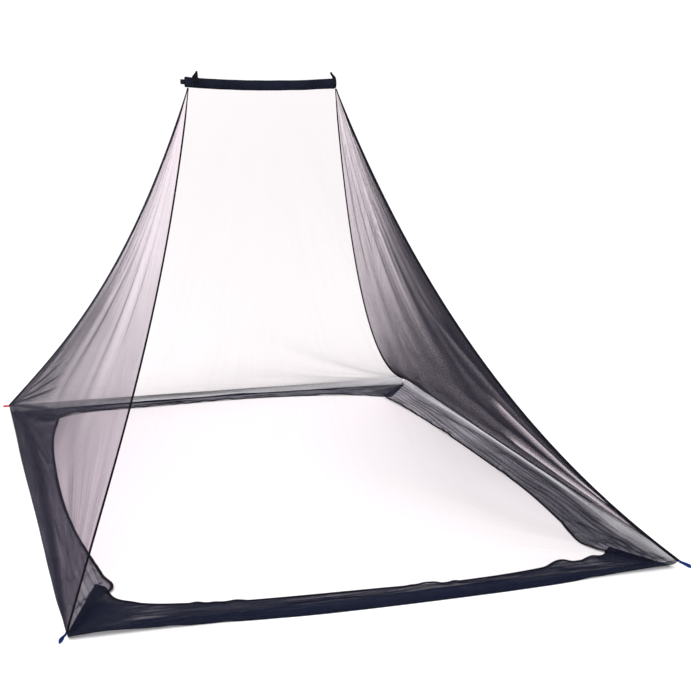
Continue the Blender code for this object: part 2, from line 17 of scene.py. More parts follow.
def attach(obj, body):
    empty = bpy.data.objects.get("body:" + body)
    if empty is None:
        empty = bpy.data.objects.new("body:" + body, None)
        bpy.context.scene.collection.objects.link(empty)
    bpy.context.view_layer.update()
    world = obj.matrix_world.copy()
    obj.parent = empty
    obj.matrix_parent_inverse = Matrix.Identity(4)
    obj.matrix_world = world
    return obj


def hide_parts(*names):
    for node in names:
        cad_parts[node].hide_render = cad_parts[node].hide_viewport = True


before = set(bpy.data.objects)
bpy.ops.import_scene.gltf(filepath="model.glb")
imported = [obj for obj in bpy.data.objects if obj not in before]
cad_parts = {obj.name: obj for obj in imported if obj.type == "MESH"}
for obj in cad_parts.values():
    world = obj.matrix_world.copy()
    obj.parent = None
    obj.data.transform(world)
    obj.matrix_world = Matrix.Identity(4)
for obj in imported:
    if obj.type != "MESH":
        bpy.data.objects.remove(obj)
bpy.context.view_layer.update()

print("pieces in the packed model:", len(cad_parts))

# %% Helpers for objects and plain finishes
def put(name, data):
    """Puts a new object in the scene."""
    piece = bpy.data.objects.new(name, data)
    bpy.context.scene.collection.objects.link(piece)
    return piece


def new_finish(name, colour, roughness, shine=0.06):
    """A plain finish to build on. Black cloth in bright light has hardly any shine."""
    material = bpy.data.materials.new(name)
    material.use_nodes = True
    shader = material.node_tree.nodes["Principled BSDF"]
    shader.inputs["Base Color"].default_value = (*colour, 1)
    shader.inputs["Roughness"].default_value = roughness
    shader.inputs["Specular IOR Level"].default_value = shine
    return material, material.node_tree, shader


# %% [markdown]
# ## The camera
# The four pegs and the two ends of the bar fix where the photograph was taken from: about three
# and a half metres in front of the net, to the left of its middle, at the height of the bar,
# looking a little down. A long lens keeps the far side nearly as large as the near one.

# %% Camera
CAMERA_PLACE = (-1.168, -4.659, 1.493)
CAMERA_PITCH = 12.03  # degrees below level
CAMERA_TURN = 16.99  # degrees to the right of straight ahead
CAMERA_LENS = 70.51  # mm, on a sensor 36 mm wide

camera = put("photograph_camera", bpy.data.cameras.new("photograph_camera"))
camera.data.lens = CAMERA_LENS
camera.location = CAMERA_PLACE
camera.rotation_euler = (math.radians(90 - CAMERA_PITCH), 0, math.radians(-CAMERA_TURN))
bpy.context.scene.camera = camera
print("camera is", round(Vector(CAMERA_PLACE).length, 2), "m from the middle of the base")

# %% [markdown]
# ## Floor and light
# The photograph has a plain white ground and no hard shadow. One wide pale floor under an even
# white sky gives that, and one large soft lamp on the left gives the folds a bright and a dark
# side. Net is seen through many layers, so light has to be let through more surfaces than
# Blender's usual eight.

# %% Floor, sky and lamp
FLOOR_REACH = 900.0
FLOOR_COLOUR = (0.93, 0.93, 0.93)
SKY_STRENGTH = 1.12
LAMP_PLACE, LAMP_AIM = (-3.2, -4.5, 5.5), (0, 0, 0.4)
LAMP_SIZE, LAMP_POWER = 3.5, 420
MOST_LAYERS = 48


def make_floor():
    bm = bmesh.new()
    bmesh.ops.create_grid(bm, x_segments=1, y_segments=1, size=FLOOR_REACH)
    mesh = bpy.data.meshes.new("studio_floor")
    bm.to_mesh(mesh)
    bm.free()
    mesh.materials.append(new_finish("studio_floor", FLOOR_COLOUR, 0.9, shine=0.0)[0])
    put("studio_floor", mesh)


make_floor()
world = bpy.data.worlds.new("white_sky")
world.use_nodes = True
sky = world.node_tree.nodes["Background"]
sky.inputs["Color"].default_value = (1, 1, 1, 1)
sky.inputs["Strength"].default_value = SKY_STRENGTH
bpy.context.scene.world = world
lamp = put("soft_lamp", bpy.data.lights.new("soft_lamp", "AREA"))
lamp.data.size, lamp.data.energy = LAMP_SIZE, LAMP_POWER
lamp.location = LAMP_PLACE
lamp.rotation_euler = (Vector(LAMP_AIM) - Vector(LAMP_PLACE)).to_track_quat("-Z", "Y").to_euler()
bpy.context.scene.view_settings.view_transform = "Standard"
bpy.context.scene.cycles.transparent_max_bounces = MOST_LAYERS
print("floor reaches", FLOOR_REACH, "m; layers of net let through:", MOST_LAYERS)

# %% [markdown]
# ## Driving dimensions
# These repeat the values that the solids were built from, because this script sees only the packed
# model. The four pegs make the base, and the bar hangs over it, a little behind its middle.

# %% Base, bar and hips
BASE_WIDTH, BASE_LENGTH = 1.80, 2.50  # between the pegs
PEG_HEIGHT = 0.030
BAR_HEIGHT, BAR_BACK = 1.4065, 0.232
BAR_DROP, BAR_BOW = 0.009, 0.0105  # the bar droops to the right, and bows
BAR_LEFT, BAR_RIGHT = -0.299, 0.270
SLEEVE_LEFT, SLEEVE_RIGHT = -0.284, 0.272
SLEEVE_HALF_DEPTH, SLEEVE_HALF_HEIGHT = 0.0112, 0.0180
HIP_LEFT, HIP_RIGHT, HIP_SPREAD = -0.273, 0.272, 0.004

HIPS = {  # side and end give the peg's corner; sag, skew and pull the curve down to it
    "front_left": dict(side=-1, end=-1, sag=0.132, skew=-0.46, pull=0.010),
    "front_right": dict(side=1, end=-1, sag=0.194, skew=-0.08, pull=0.030),
    "back_right": dict(side=1, end=1, sag=0.220, skew=0.09, pull=0.040),
    "back_left": dict(side=-1, end=1, sag=0.150, skew=-0.36, pull=0.010),
}
SIDES = {
    "front": ("front_left", "front_right"),
    "right": ("front_right", "back_right"),
    "back": ("back_right", "back_left"),
    "left": ("back_left", "front_left"),
}


def eased(value):
    """Eases from 0 to 1."""
    value = min(max(value, 0.0), 1.0)
    return value * value * (3 - 2 * value)


def distances(points, least=0.0):
    """How far along a line of points each one is."""
    places = [0.0]
    for here, there in zip(points, points[1:]):
        places.append(places[-1] + max((there - here).length, least))
    return places


def bar_point(x):
    """A point of the bar's centre line."""
    half = (BAR_RIGHT - BAR_LEFT) / 2
    share = (x - (BAR_LEFT + BAR_RIGHT) / 2) / half
    height = BAR_HEIGHT - BAR_DROP / 2 * share - BAR_BOW * (1 - share * share)
    return Vector((x, BAR_BACK, height))


def peg_point(name):
    hip = HIPS[name]
    return Vector((hip["side"] * BASE_WIDTH / 2, hip["end"] * BASE_LENGTH / 2, PEG_HEIGHT))


def hip_top(name):
    hip = HIPS[name]
    x = HIP_LEFT if hip["side"] < 0 else HIP_RIGHT
    height = bar_point(x).z - SLEEVE_HALF_HEIGHT
    return Vector((x, BAR_BACK + hip["end"] * HIP_SPREAD, height))


def hip_point(name, down):
    """The hip at a share of the way down from the bar to its peg."""
    hip = HIPS[name]
    hang = 4 * down * (1 - down) * (1 + hip["skew"] * (2 * down - 1))
    point = hip_top(name).lerp(peg_point(name), down)
    return point - Vector((hip["side"] * hip["pull"] * hang, 0, hip["sag"] * hang))


def hip_run(name, down):
    """The hip's direction downwards."""
    step = 0.002
    above, below = hip_point(name, max(down - step, 0)), hip_point(name, min(down + step, 1))
    return (below - above).normalized()


def hip_length(name):
    return distances([hip_point(name, k / 40) for k in range(41)])[-1]


for hip_name in HIPS:
    print(hip_name, "hip is", round(hip_length(hip_name), 3), "m long")

# %% [markdown]
# ## Cloth from a flat grid
# Cloth is cut flat and then hung, so each piece starts as a flat grid too. A function then says
# where each place of the grid goes, and maps keep what the finish needs to know about that place,
# such as how far it is from a hem. The other way, a simulation, would not find the folds in the
# photograph.

# %% Helper that lays a grid in place
def laid_cloth(name, columns, rows, place, maps, tone=None, ends="open", outward=None):
    """A piece made from a flat grid. place(across, along) gives each point, and maps are UV maps.

    A grid that is rolled up has its two ends capped, or joined to each other."""
    bm = bmesh.new()
    bmesh.ops.create_grid(bm, x_segments=columns, y_segments=rows, size=0.5)
    charts = {title: bm.loops.layers.uv.new(title) for title in maps}
    gather = bm.verts.layers.float_color.new("gather") if tone else None
    at = {vert: (vert.co.x + 0.5, vert.co.y + 0.5) for vert in bm.verts}
    for title, chart in maps.items():
        values = {vert: chart(*at[vert]) for vert in bm.verts}
        for face in bm.faces:
            for loop in face.loops:
                loop[charts[title]].uv = values[loop.vert]
    for vert in bm.verts:
        if tone:
            vert[gather] = (*tone(*at[vert]), 1.0)
        vert.co = place(*at[vert])
    if ends != "open":
        bmesh.ops.remove_doubles(bm, verts=bm.verts, dist=1e-6)
        rims = [edge for edge in bm.edges if edge.is_boundary]
        if ends == "capped":
            bmesh.ops.holes_fill(bm, edges=rims, sides=0)
        else:
            bmesh.ops.bridge_loops(bm, edges=rims)
        bmesh.ops.recalc_face_normals(bm, faces=bm.faces)
    elif outward is not None:
        bm.normal_update()
        if sum(face.normal.dot(outward) for face in bm.faces) < 0:
            bmesh.ops.reverse_faces(bm, faces=bm.faces)
    for face in bm.faces:
        face.smooth = True
    mesh = bpy.data.meshes.new(name)
    bm.to_mesh(mesh)
    bm.free()
    print(name, "has", len(mesh.vertices), "points")
    return put(name, mesh)


def dress(piece, material, solid):
    """Gives a piece its finish, hides the solid that it stands for, and hangs it from the root."""
    piece.data.materials.append(material)
    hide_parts(solid)
    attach(piece, "root")
    return piece


# %% [markdown]
# ## Shared effects: the mesh, the pleats and the weave
# Node groups hold what more than one finish uses. The first draws the holes of the knitted mesh
# from three sets of waves, sixty degrees apart. The second draws fine lines that run along
# gathers.

# %% Small helpers for node trees
def new_group(name, outputs, **inputs):
    """A node group that takes a Place and these numbers; gives it, its inputs and its outputs."""
    group = bpy.data.node_groups.new(name, "ShaderNodeTree")
    add_socket = group.interface.new_socket
    add_socket(name="Place", in_out="INPUT", socket_type="NodeSocketVector")
    for title, value in inputs.items():
        socket = add_socket(name=title, in_out="INPUT", socket_type="NodeSocketFloat")
        socket.default_value = value
    for title in outputs:
        add_socket(name=title, in_out="OUTPUT", socket_type="NodeSocketFloat")
    entry, leave = group.nodes.new("NodeGroupInput"), group.nodes.new("NodeGroupOutput")
    return group, entry.outputs, leave.inputs


def add_node(tree, kind, inputs=None, **settings):
    """A node with these settings; its inputs are sockets to link or values. Gives its outputs."""
    node = tree.nodes.new("ShaderNode" + kind)
    for title, value in settings.items():
        setattr(node, title, value)
    for title, value in (inputs or {}).items():
        if isinstance(value, bpy.types.NodeSocket):
            tree.links.new(value, node.inputs[title])
        else:
            node.inputs[title].default_value = value
    return node.outputs


def math_node(tree, operation, *inputs, clamp=False):
    """A Math node whose inputs are sockets or numbers; gives its output."""
    return add_node(tree, "Math", dict(enumerate(inputs)), operation=operation, use_clamp=clamp)[0]


def ranged(tree, value, low, high, to_low=0.0, to_high=1.0, **settings):
    """A value between low and high, moved to between two other numbers."""
    ends = {"From Min": low, "From Max": high, "To Min": to_low, "To Max": to_high}
    return add_node(tree, "MapRange", {"Value": value, **ends}, **settings)["Result"]


def noise_at(tree, place, scale, detail, roughness=0.5):
    inputs = {"Vector": place, "Scale": scale, "Detail": detail, "Roughness": roughness}
    return add_node(tree, "TexNoise", inputs)["Fac"]


def bumped(tree, shader, height, strength, depth):
    """Gives a shader fine relief, and gives back the normal that it makes."""
    inputs = {"Height": height, "Strength": strength, "Distance": depth}
    normal = add_node(tree, "Bump", inputs)["Normal"]
    tree.links.new(normal, shader.inputs["Normal"])
    return normal


def uv_place(tree, title):
    return add_node(tree, "UVMap", uv_map=title)["UV"]


# %% Group: holes of the knitted mesh
MESH_PITCH = 0.0016


def make_mesh_group():
    group, given, result = new_group("knitted_mesh", ["Thread"], Pitch=MESH_PITCH)
    turns = math_node(group, "DIVIDE", 2 * math.pi, given["Pitch"])
    total = 0.0
    for angle in (0, 60, 120):
        heading = (math.cos(math.radians(angle)), math.sin(math.radians(angle)), 0)
        inputs = {0: given["Place"], 1: heading}
        dot = add_node(group, "VectorMath", inputs, operation="DOT_PRODUCT")["Value"]
        wave = math_node(group, "COSINE", math_node(group, "MULTIPLY", dot, turns))
        total = math_node(group, "ADD", total, wave)
    group.links.new(ranged(group, total, 0.6, -0.6), result["Thread"])
    return group


mesh_group = make_mesh_group()
print("group:", mesh_group.name)

# %% Group: lines along gathers
LINE_KINDS = (  # title, share of the number of lines, detail, and the noise at their two ends
    ("Lines", 1.0, 2.5, 0.40, 0.78),
    ("Bands", 0.22, 1.0, 0.25, 0.75),
)


def make_line_group():
    titles = [kind[0] for kind in LINE_KINDS]
    group, given, result = new_group("gather_lines", titles, Across=80.0, Along=1.0)
    parts = add_node(group, "SeparateXYZ", {0: given["Place"]})
    for title, share, detail, low, high in LINE_KINDS:
        across = math_node(group, "MULTIPLY", parts["X"], given["Across"])
        across = math_node(group, "MULTIPLY", across, share)
        along = math_node(group, "MULTIPLY", parts["Y"], given["Along"])
        along = math_node(group, "MULTIPLY_ADD", along, share + 0.3, 5.0 * share)
        joined = add_node(group, "CombineXYZ", {"X": across, "Y": along})
        wave = noise_at(group, joined[0], 1.0, detail, 0.6)
        line = ranged(group, wave, low, high, interpolation_type="SMOOTHSTEP")
        group.links.new(line, result[title])
    return group


line_group = make_line_group()
print("group:", line_group.name)

# %% [markdown]
# ## The net's finish
# Net is mostly holes. Looking straight at it, little of the view is thread; looking along it, the
# threads close up, because the view passes them at a slant. So the share that is hidden is worked
# out as it is in reality: what one layer lets through, to the power of the number of layers, over
# the cosine of the angle. The map called gather says how many layers are bunched at each place.
# Each net also has a slight tint of its own in what it lets through: rose on the side walls, where
# the low light comes through many gathers, and blue on the strips.

# %% Net material
ONE_LAYER_CLEAR = 0.945  # what one layer lets through, seen straight on
MOST_GATHERED = 40.0  # layers at full strength of the map's red
LEAST_COSINE = 0.03  # a view that is more slanting than this counts as this one
NET_ROUGHNESS = 0.8


def make_net(name, colour, let_through, across, along, depth, contrast):
    """A net finish. across and along are how many lines to the metre, hanging and fanned."""
    material, tree, shader = new_finish(name, colour, NET_ROUGHNESS)
    place = {"Place": uv_place(tree, "flat"), "Pitch": MESH_PITCH}
    thread = add_node(tree, "Group", place, node_tree=mesh_group)["Thread"]
    gather = add_node(tree, "VertexColor", layer_name="gather")["Color"]
    shares = add_node(tree, "SeparateColor", {0: gather})

    # lines that hang down or run along the hem, and lines that fan out from the nearer peg
    kinds = []
    for k, (title, strength) in enumerate((("hang", "Green"), ("fan", "Blue"))):
        place = {"Place": uv_place(tree, title), "Across": across[k], "Along": along[k]}
        kinds.append((add_node(tree, "Group", place, node_tree=line_group), shares[strength]))
    lines, bands = (
        math_node(tree, "ADD", *(math_node(tree, "MULTIPLY", kind[title], s) for kind, s in kinds))
        for title in ("Lines", "Bands")
    )
    normal = bumped(tree, shader, lines, 1.0, depth)
    facing = add_node(tree, "LayerWeight", {"Blend": 0.5, "Normal": normal})["Facing"]
    cosine = math_node(tree, "MAXIMUM", math_node(tree, "SUBTRACT", 1.0, facing), LEAST_COSINE)

    layers = math_node(tree, "MULTIPLY", shares["Red"], MOST_GATHERED)
    for value, factor, rest in (
        (lines, contrast[0], 1 - contrast[0] * 0.4),
        (bands, contrast[1], 1 - contrast[1] * 0.5),
        (thread, 0.8, 0.6),
    ):
        share = math_node(tree, "MULTIPLY_ADD", value, factor, rest)
        layers = math_node(tree, "MULTIPLY", layers, share)
    clear = math_node(tree, "POWER", ONE_LAYER_CLEAR, math_node(tree, "DIVIDE", layers, cosine))
    hidden = math_node(tree, "SUBTRACT", 1.0, clear, clamp=True)

    holes = add_node(tree, "BsdfTransparent", {"Color": (*let_through, 1)})[0]
    mixed = add_node(tree, "MixShader", {"Fac": hidden, 1: holes, 2: shader.outputs[0]})[0]
    tree.links.new(mixed, tree.nodes["Material Output"].inputs["Surface"])
    return material


NEARLY_WHITE, ROSE, BLUISH = (1.0, 0.976, 0.984), (1.0, 0.905, 0.965), (0.966, 0.966, 1.0)
WALL_BLACK, STRIP_BLACK = (0.0095, 0.0085, 0.019), (0.005, 0.007, 0.018)
end_net = make_net(
    "black_end_net", WALL_BLACK, NEARLY_WHITE, (90, 30), (0.8, 1.3), 0.0016, (0.42, 0.2)
)
side_net = make_net(
    "black_side_net", WALL_BLACK, ROSE, (110, 36), (0.8, 1.3), 0.0016, (0.42, 0.16)
)
skirt_net = make_net(
    "black_skirt_net", STRIP_BLACK, BLUISH, (110, 12), (3.0, 4), 0.003, (0.5, 0.8)
)
print("finishes:", end_net.name, side_net.name, skirt_net.name)

# %% [markdown]
# ## The four walls
# Each wall is a curved sheet between two hips. Its big folds are the ones that the solids have:
# soft ridges and troughs on lines from the bar or from a peg. Smaller folds fan down from the bar
# and out from the pegs, where the cloth is pulled.

# %% Folds of the walls
def in_units(table, units):
    """A table with each column divided by its unit: 100 for percent, 1000 for millimetres."""
    return {
        side: [tuple(value / unit for value, unit in zip(row, units)) for row in rows]
        for side, rows in table.items()
    }


# across runs from the wall's first hip to its second, down from the bar to the hem; width is the
# half width at the two ends of a line. The amount of a fold is its height. That of a pleat says
# how much denser it is or, under 0, how much more open.
LINE_NAMES = ("across", "down", "to_across", "to_down", "width", "to_width", "amount")
FOLDS = in_units(
    {
        "front": (
            (30, 0, 24, 100, 30, 120, -14), (62, 0, 70, 100, 30, 140, 16),
            (2, 98, 46, 62, 30, 100, 14), (98, 98, 60, 70, 30, 100, -14),
        ),
        "right": (
            (30, 42, 4, 84, 20, 40, 10), (2, 99, 30, 60, 20, 50, 10), (2, 99, 55, 70, 30, 80, 12),
            (2, 99, 86, 86, 30, 70, -12), (52, 2, 46, 66, 20, 70, 8), (76, 2, 72, 60, 20, 70, -8),
        ),
        "back": (
            (36, 0, 34, 100, 30, 130, 14), (70, 0, 76, 100, 30, 120, -14),
            (2, 98, 40, 66, 30, 90, 12),
        ),
        "left": (
            (18, 12, 5, 94, 20, 50, 8), (40, 4, 30, 74, 20, 70, -6), (62, 4, 62, 70, 20, 80, 6),
            (2, 99, 30, 80, 20, 50, 10), (2, 99, 52, 76, 30, 80, -10), (98, 99, 60, 82, 30, 70, -8),
        ),
    },
    (100, 100, 100, 100, 1000, 1000, 1000),
)
# billow is how far a wall swells outwards, as a share of its width. grid is its columns and rows.
# hanging is how many small folds hang from the bar, deep how deep they are, and fanned how deep
# those are that fan out from the pegs. outward is the way that the wall faces.
END_WALL = dict(billow=0.005, grid=(150, 150), hanging=9, deep=0.0010, fanned=0.0012)
WALLS = {
    "front": dict(END_WALL, outward=(0, -1, 0)),
    "right": dict(
        billow=0.012, grid=(220, 190), hanging=15, deep=0.0022, fanned=0.003, outward=(1, 0, 0)
    ),
    "back": dict(END_WALL, outward=(0, 1, 0)),
    "left": dict(
        billow=0.010, grid=(220, 190), hanging=13, deep=0.0016, fanned=0.002, outward=(-1, 0, 0)
    ),
}
BILLOW_ENDS = 0.55  # of the way down; below it the billow dies out towards the hem
STEEPEST = 0.25  # no hanging fold is deeper than this share of its spacing
HANGING_FADE = 0.75  # the hanging folds lose this share of their depth down to the hem
PLEAT_FADE = 0.6  # of its length; from there on a pleat dies out

# How many layers thick the net looks where it is gathered: at places down the wall, beside its
# first hip and beside its second, and the power by which the first gives way to the second. Then
# how strong the lines are that hang down and that fan out.
GATHER_NAMES = ("down", "first", "last", "power", "hanging", "fanned")
GATHERS = in_units(
    {
        "front": (
            (0, 0.3, 0.5, 1, 0.4, 0.3), (40, 1.1, 1.4, 1, 0.4, 0.3), (100, 1.7, 2.6, 1, 0.4, 0.4),
        ),
        "right": (
            (5, 17, 1.7, 4.5, 0.9, 0), (18, 17, 1.9, 3.1, 0.9, 0.1), (30, 30, 2.8, 2.7, 0.6, 0.2),
            (50, 37, 4.6, 1.75, 0.3, 0.5), (64, 28, 4.5, 0.9, 0.1, 0.7),
            (100, 16, 6.5, 0.8, 0, 0.8),
        ),
        "back": (
            (0, 0.5, 0.3, 1, 0.4, 0.3), (40, 1.4, 1.1, 1, 0.4, 0.3), (100, 2.6, 1.7, 1, 0.4, 0.4),
        ),
        "left": (
            (4, 1.6, 0.1, 3, 0.9, 0), (15, 5.2, 0.3, 5, 0.7, 0), (30, 7.5, 0.7, 8, 0.5, 0.1),
            (50, 11.5, 2.6, 5, 0.3, 0.3), (70, 11, 3.8, 6, 0.1, 0.5), (100, 6.5, 5, 2, 0.1, 0.6),
        ),
    },
    (100, 1, 1, 1, 1, 1),
)
# Single pleats on a wall.
PLEATS = in_units(
    {
        "front": (),
        "back": (),
        "right": (
            (12, 3, 10, 40, 3, 9, 0.5), (22, 3, 19, 52, 3, 10, 0.4), (34, 3, 29, 44, 3, 10, 0.3),
            (45, 3, 42, 56, 3, 12, 0.6), (53, 3, 49, 44, 3, 9, 1.1), (66, 3, 62, 56, 3, 10, 1.1),
            (74, 10, 71, 36, 3, 8, 2), (88, 3, 85, 28, 3, 7, 2), (96, 8, 86, 44, 3, 8, 2),
            (16, 46, 4, 78, 30, 30, 1.2), (25, 63, 6, 92, 50, 35, -0.88),
            (2, 99, 8, 70, 5, 10, 1.6), (2, 99, 14, 76, 4, 8, 1.6), (2, 99, 32, 69, 5, 12, 2.6),
            (4, 97, 34, 77, 10, 26, -0.8), (2, 99, 40, 76, 4, 10, 1.6),
            (5, 98, 40, 83, 14, 40, -0.84), (2, 99, 50, 82, 4, 12, 1.8),
            (4, 98.5, 60, 88, 8, 22, -0.5), (2, 99, 74, 86, 5, 16, 1.2),
            (4, 99, 60, 95, 8, 30, -0.6), (98, 98, 80, 90, 20, 50, -0.5),
            (98, 98, 76, 80, 10, 30, 0.4),
        ),
        "left": (
            (1, 99, 10, 62, 4, 7, 1.3), (1, 99, 17, 68, 4, 7, 1.6), (1, 99, 25, 71, 4, 7, 2.2),
            (1, 99, 29, 75, 4, 7, 2.2), (1, 99, 34, 81, 4, 7, 2), (1, 99, 42, 88, 4, 8, 1.4),
            (6, 2, 6, 44, 3, 8, 1), (16, 2, 15, 50, 3, 8, 1.5), (29, 5, 27, 46, 3, 7, 2.2),
            (43, 8, 40, 44, 3, 7, 3), (57, 12, 53, 42, 3, 6, 3.6), (73, 8, 73, 56, 3, 6, 2.6),
        ),
    },
    (100, 100, 100, 100, 1000, 1000, 1),
)

# %% [markdown]
# ## How a wall finds its points
# Each place of the flat grid goes between two hips, and then outwards by its folds. The sewn edges
# stay where they are. The tone says how thick the net looks there, and how its fine lines run.

# %% Shape of a wall
HIP_BAND, HIP_BAND_WIDE = 9.0, 0.024  # extra layers beside the first hip of the side walls
SMALLEST_HELD = 1.5  # CAD cells over which a wall's folds die out at its edges
CAD_ROWS, CAD_COLUMNS = 18, {"front": 12, "right": 18, "back": 12, "left": 18}
ROW_POWER = 1.2  # above 1, the grid's rows lie closer together near the bar
PEG_CLEAR, PEG_REACH = 0.25, 1.1  # small folds start this far from a peg, and fade over this far
FAN_FULL, FAN_FADE = 0.35, 0.8  # lines fan out this near a peg, and turn to hanging ones over this


def line_share(place, start, line):
    """How far along a line a place is, and its distance from the line."""
    share = min(max((place - start).dot(line) / line.length_squared, 0.0), 1.0)
    return share, (place - start - line * share).length


def bell(distance, width):
    """1 on a line, and dying out to its sides."""
    return math.exp(-((distance / width) ** 2))


def turned(away):
    """An angle about a peg, and the distance from it."""
    return math.atan2(-away.y, abs(away.x)), away.length


def free_of_edges(place, cells):
    """0 at the two edges of a wall, which are sewn, and 1 a little way in."""
    return eased(place * cells / SMALLEST_HELD) * eased((1 - place) * cells / SMALLEST_HELD)


def lay_net(name, grid, shape, outward):
    """A wall or a strip of net: its shape knows its points, its maps and its tone."""
    maps = {"flat": shape.flat_map, "hang": shape.hang_map, "fan": shape.fan_map}
    return laid_cloth(name, *grid, shape.point, maps, tone=shape.tone, outward=Vector(outward))


class Wall:
    """One wall: where its points are, and what its maps say there."""

    def __init__(self, side):
        self.side, self.settings = side, WALLS[side]
        self.first, self.last = SIDES[side]
        edges = [self.edges(k / CAD_ROWS) for k in range(CAD_ROWS + 1)]
        self.widths = [(b - a).length for a, b in edges]
        self.slant = distances([(a + b) / 2 for a, b in edges])[-1]
        self.rows = {}
        self.folds = [self.on_line(dict(zip(LINE_NAMES, row))) for row in FOLDS[side]]
        self.pleats = [self.on_line(dict(zip(LINE_NAMES, row))) for row in PLEATS[side]]
        self.pegs = [self.flat(0, 1), self.flat(1, 1)]

    def edges(self, down):
        return hip_point(self.first, down), hip_point(self.last, down)

    def on_line(self, row):
        """Where the line of a fold or pleat starts and goes on the flat wall, and its row."""
        start = self.flat(row["across"], row["down"])
        return start, self.flat(row["to_across"], row["to_down"]) - start, row

    def flat(self, across, down):
        """A place on the wall laid out flat, in metres."""
        row = down * CAD_ROWS
        k = min(int(row), CAD_ROWS - 1)
        width = self.widths[k] + (self.widths[k + 1] - self.widths[k]) * (row - k)
        return Vector(((across - 0.5) * width, down * self.slant))

    def row(self, along):
        """What one row of the grid shares: kept, because the grid asks for it many times."""
        key = round(along, 6)
        if key not in self.rows:
            down = (1 - along) ** ROW_POWER
            a, b = self.edges(down)
            along_row = (b - a).normalized()
            hips = (self.first, self.last)
            outs = [along_row.cross(-hip_run(hip, down)).normalized() for hip in hips]
            self.rows[key] = (down, a, b, outs)
        return self.rows[key]

    def lines_at(self, place, lines):
        """For each fold or pleat: how far along it a place is, how strong it is there, its row."""
        for start, line, row in lines:
            share, distance = line_share(place, start, line)
            width = row["width"] + (row["to_width"] - row["width"]) * share
            yield share, bell(distance, width), row

    def fold_height(self, across, down):
        """How far the big folds move a place outwards."""
        total = 0.0
        for share, strength, fold in self.lines_at(self.flat(across, down), self.folds):
            total += fold["amount"] * math.sin(math.pi * (0.08 + 0.84 * share)) * strength
        return total

    def small_folds(self, across, down):
        """Folds that hang from the bar, and folds that fan out from each peg."""
        settings, place = self.settings, self.flat(across, down)
        spacing = self.widths[0] + (self.widths[-1] - self.widths[0]) * down
        spacing /= settings["hanging"]
        seed = 3.7 * len(self.side)
        wave = noise.noise(Vector((across * settings["hanging"], down * 1.6, seed)))
        hanging = min(settings["deep"], STEEPEST * spacing) * wave * 2
        hanging *= 1 - HANGING_FADE * eased(down)
        fanned = 0.0
        for k, peg in enumerate(self.pegs):
            angle, away = turned(place - peg)
            wave = noise.noise(Vector((angle * 7, away * 1.3, seed + 9 * k)))
            near = eased(away / PEG_CLEAR) * (1 - eased((away - PEG_CLEAR) / PEG_REACH))
            fanned += settings["fanned"] * wave * 2 * near
        return hanging + fanned

    def point(self, across, along):
        down, a, b, outs = self.row(along)
        free = free_of_edges(across, CAD_COLUMNS[self.side]) * free_of_edges(down, CAD_ROWS)
        out = outs[0].lerp(outs[1], across).normalized()
        height = self.fold_height(across, down) + self.small_folds(across, down)
        swell = self.billow(across, down) * (b - a).length
        return a.lerp(b, across) + out * (height * free + swell)

    def billow(self, across, down):
        """A smooth swelling between the hips."""
        low = 1 - eased((down - BILLOW_ENDS) / (1 - BILLOW_ENDS))
        return self.settings["billow"] * math.sin(math.pi * across) * low * eased(down / 0.05)

    def flat_map(self, across, along):
        return self.flat(across, (1 - along) ** ROW_POWER)

    def hang_map(self, across, along):
        """Metres from the nearer hip, and metres down: lines on this map run down the wall."""
        down, a, b, _ = self.row(along)
        nearer = min(across, 1 - across) * (b - a).length
        blend = eased((nearer - 0.05) / 0.3)
        return (nearer * (1 - blend) + (across * 0.9 + 0.4) * blend, down * self.slant)

    def fan_map(self, across, along):
        """The angle about the nearer peg, and the distance from it."""
        return turned(self.flat_map(across, along) - self.pegs[0 if across < 0.5 else 1])

    def gather(self, down):
        """The row of the table of gathers for a place down the wall."""
        rows = GATHERS[self.side]
        k = max(i for i, row in enumerate(rows) if i == 0 or row[0] <= down)
        above, below = rows[k], rows[min(k + 1, len(rows) - 1)]
        share = min(max((down - above[0]) / max(below[0] - above[0], 1e-6), 0), 1)
        return dict(zip(GATHER_NAMES, (u + (v - u) * share for u, v in zip(above, below))))

    def tone(self, across, along):
        """How gathered the net is, and how strong the hanging and the fanned lines are."""
        down, a, b, _ = self.row(along)
        gather, place = self.gather(down), self.flat_map(across, along)
        first, last = gather["first"], gather["last"]
        layers = last + (first - last) * (1 - across) ** gather["power"]
        if self.side in ("left", "right"):
            from_hip = across * (b - a).length
            layers += HIP_BAND * bell(from_hip, HIP_BAND_WIDE) * eased(down / 0.2)
        for share, strength, pleat in self.lines_at(place, self.pleats):
            fade = 1 - eased((share - PLEAT_FADE) / (1 - PLEAT_FADE))
            if pleat["amount"] < 0:
                fade = min(2.5 * math.sin(math.pi * share), 1.0)
            layers *= 1 + pleat["amount"] * fade * strength
        near_peg = min((place - peg).length for peg in self.pegs)
        fan = 1 - eased((near_peg - FAN_FULL) / FAN_FADE)
        return (layers / MOST_GATHERED, gather["hanging"] * (1 - fan), gather["fanned"] * fan)


# %% Make the walls
def make_wall(side):
    wall = Wall(side)
    piece = lay_net(f"{side}_net_wall", wall.settings["grid"], wall, wall.settings["outward"])
    net = side_net if side in ("left", "right") else end_net
    return dress(piece, net, f"{side}_wall"), wall


walls = {side: make_wall(side) for side in SIDES}

# %% [markdown]
# ## The skirts
# A strip of net is sewn to each hem. It drops to the ground and turns inwards, and its inner edge,
# bound with a tape, runs in an uneven curve from corner to corner.

# %% Edges of the skirts
SKIRT_GAP, SKIRT_LAP, SKIRT_RIDGE = 0.010, 0.005, 0.010
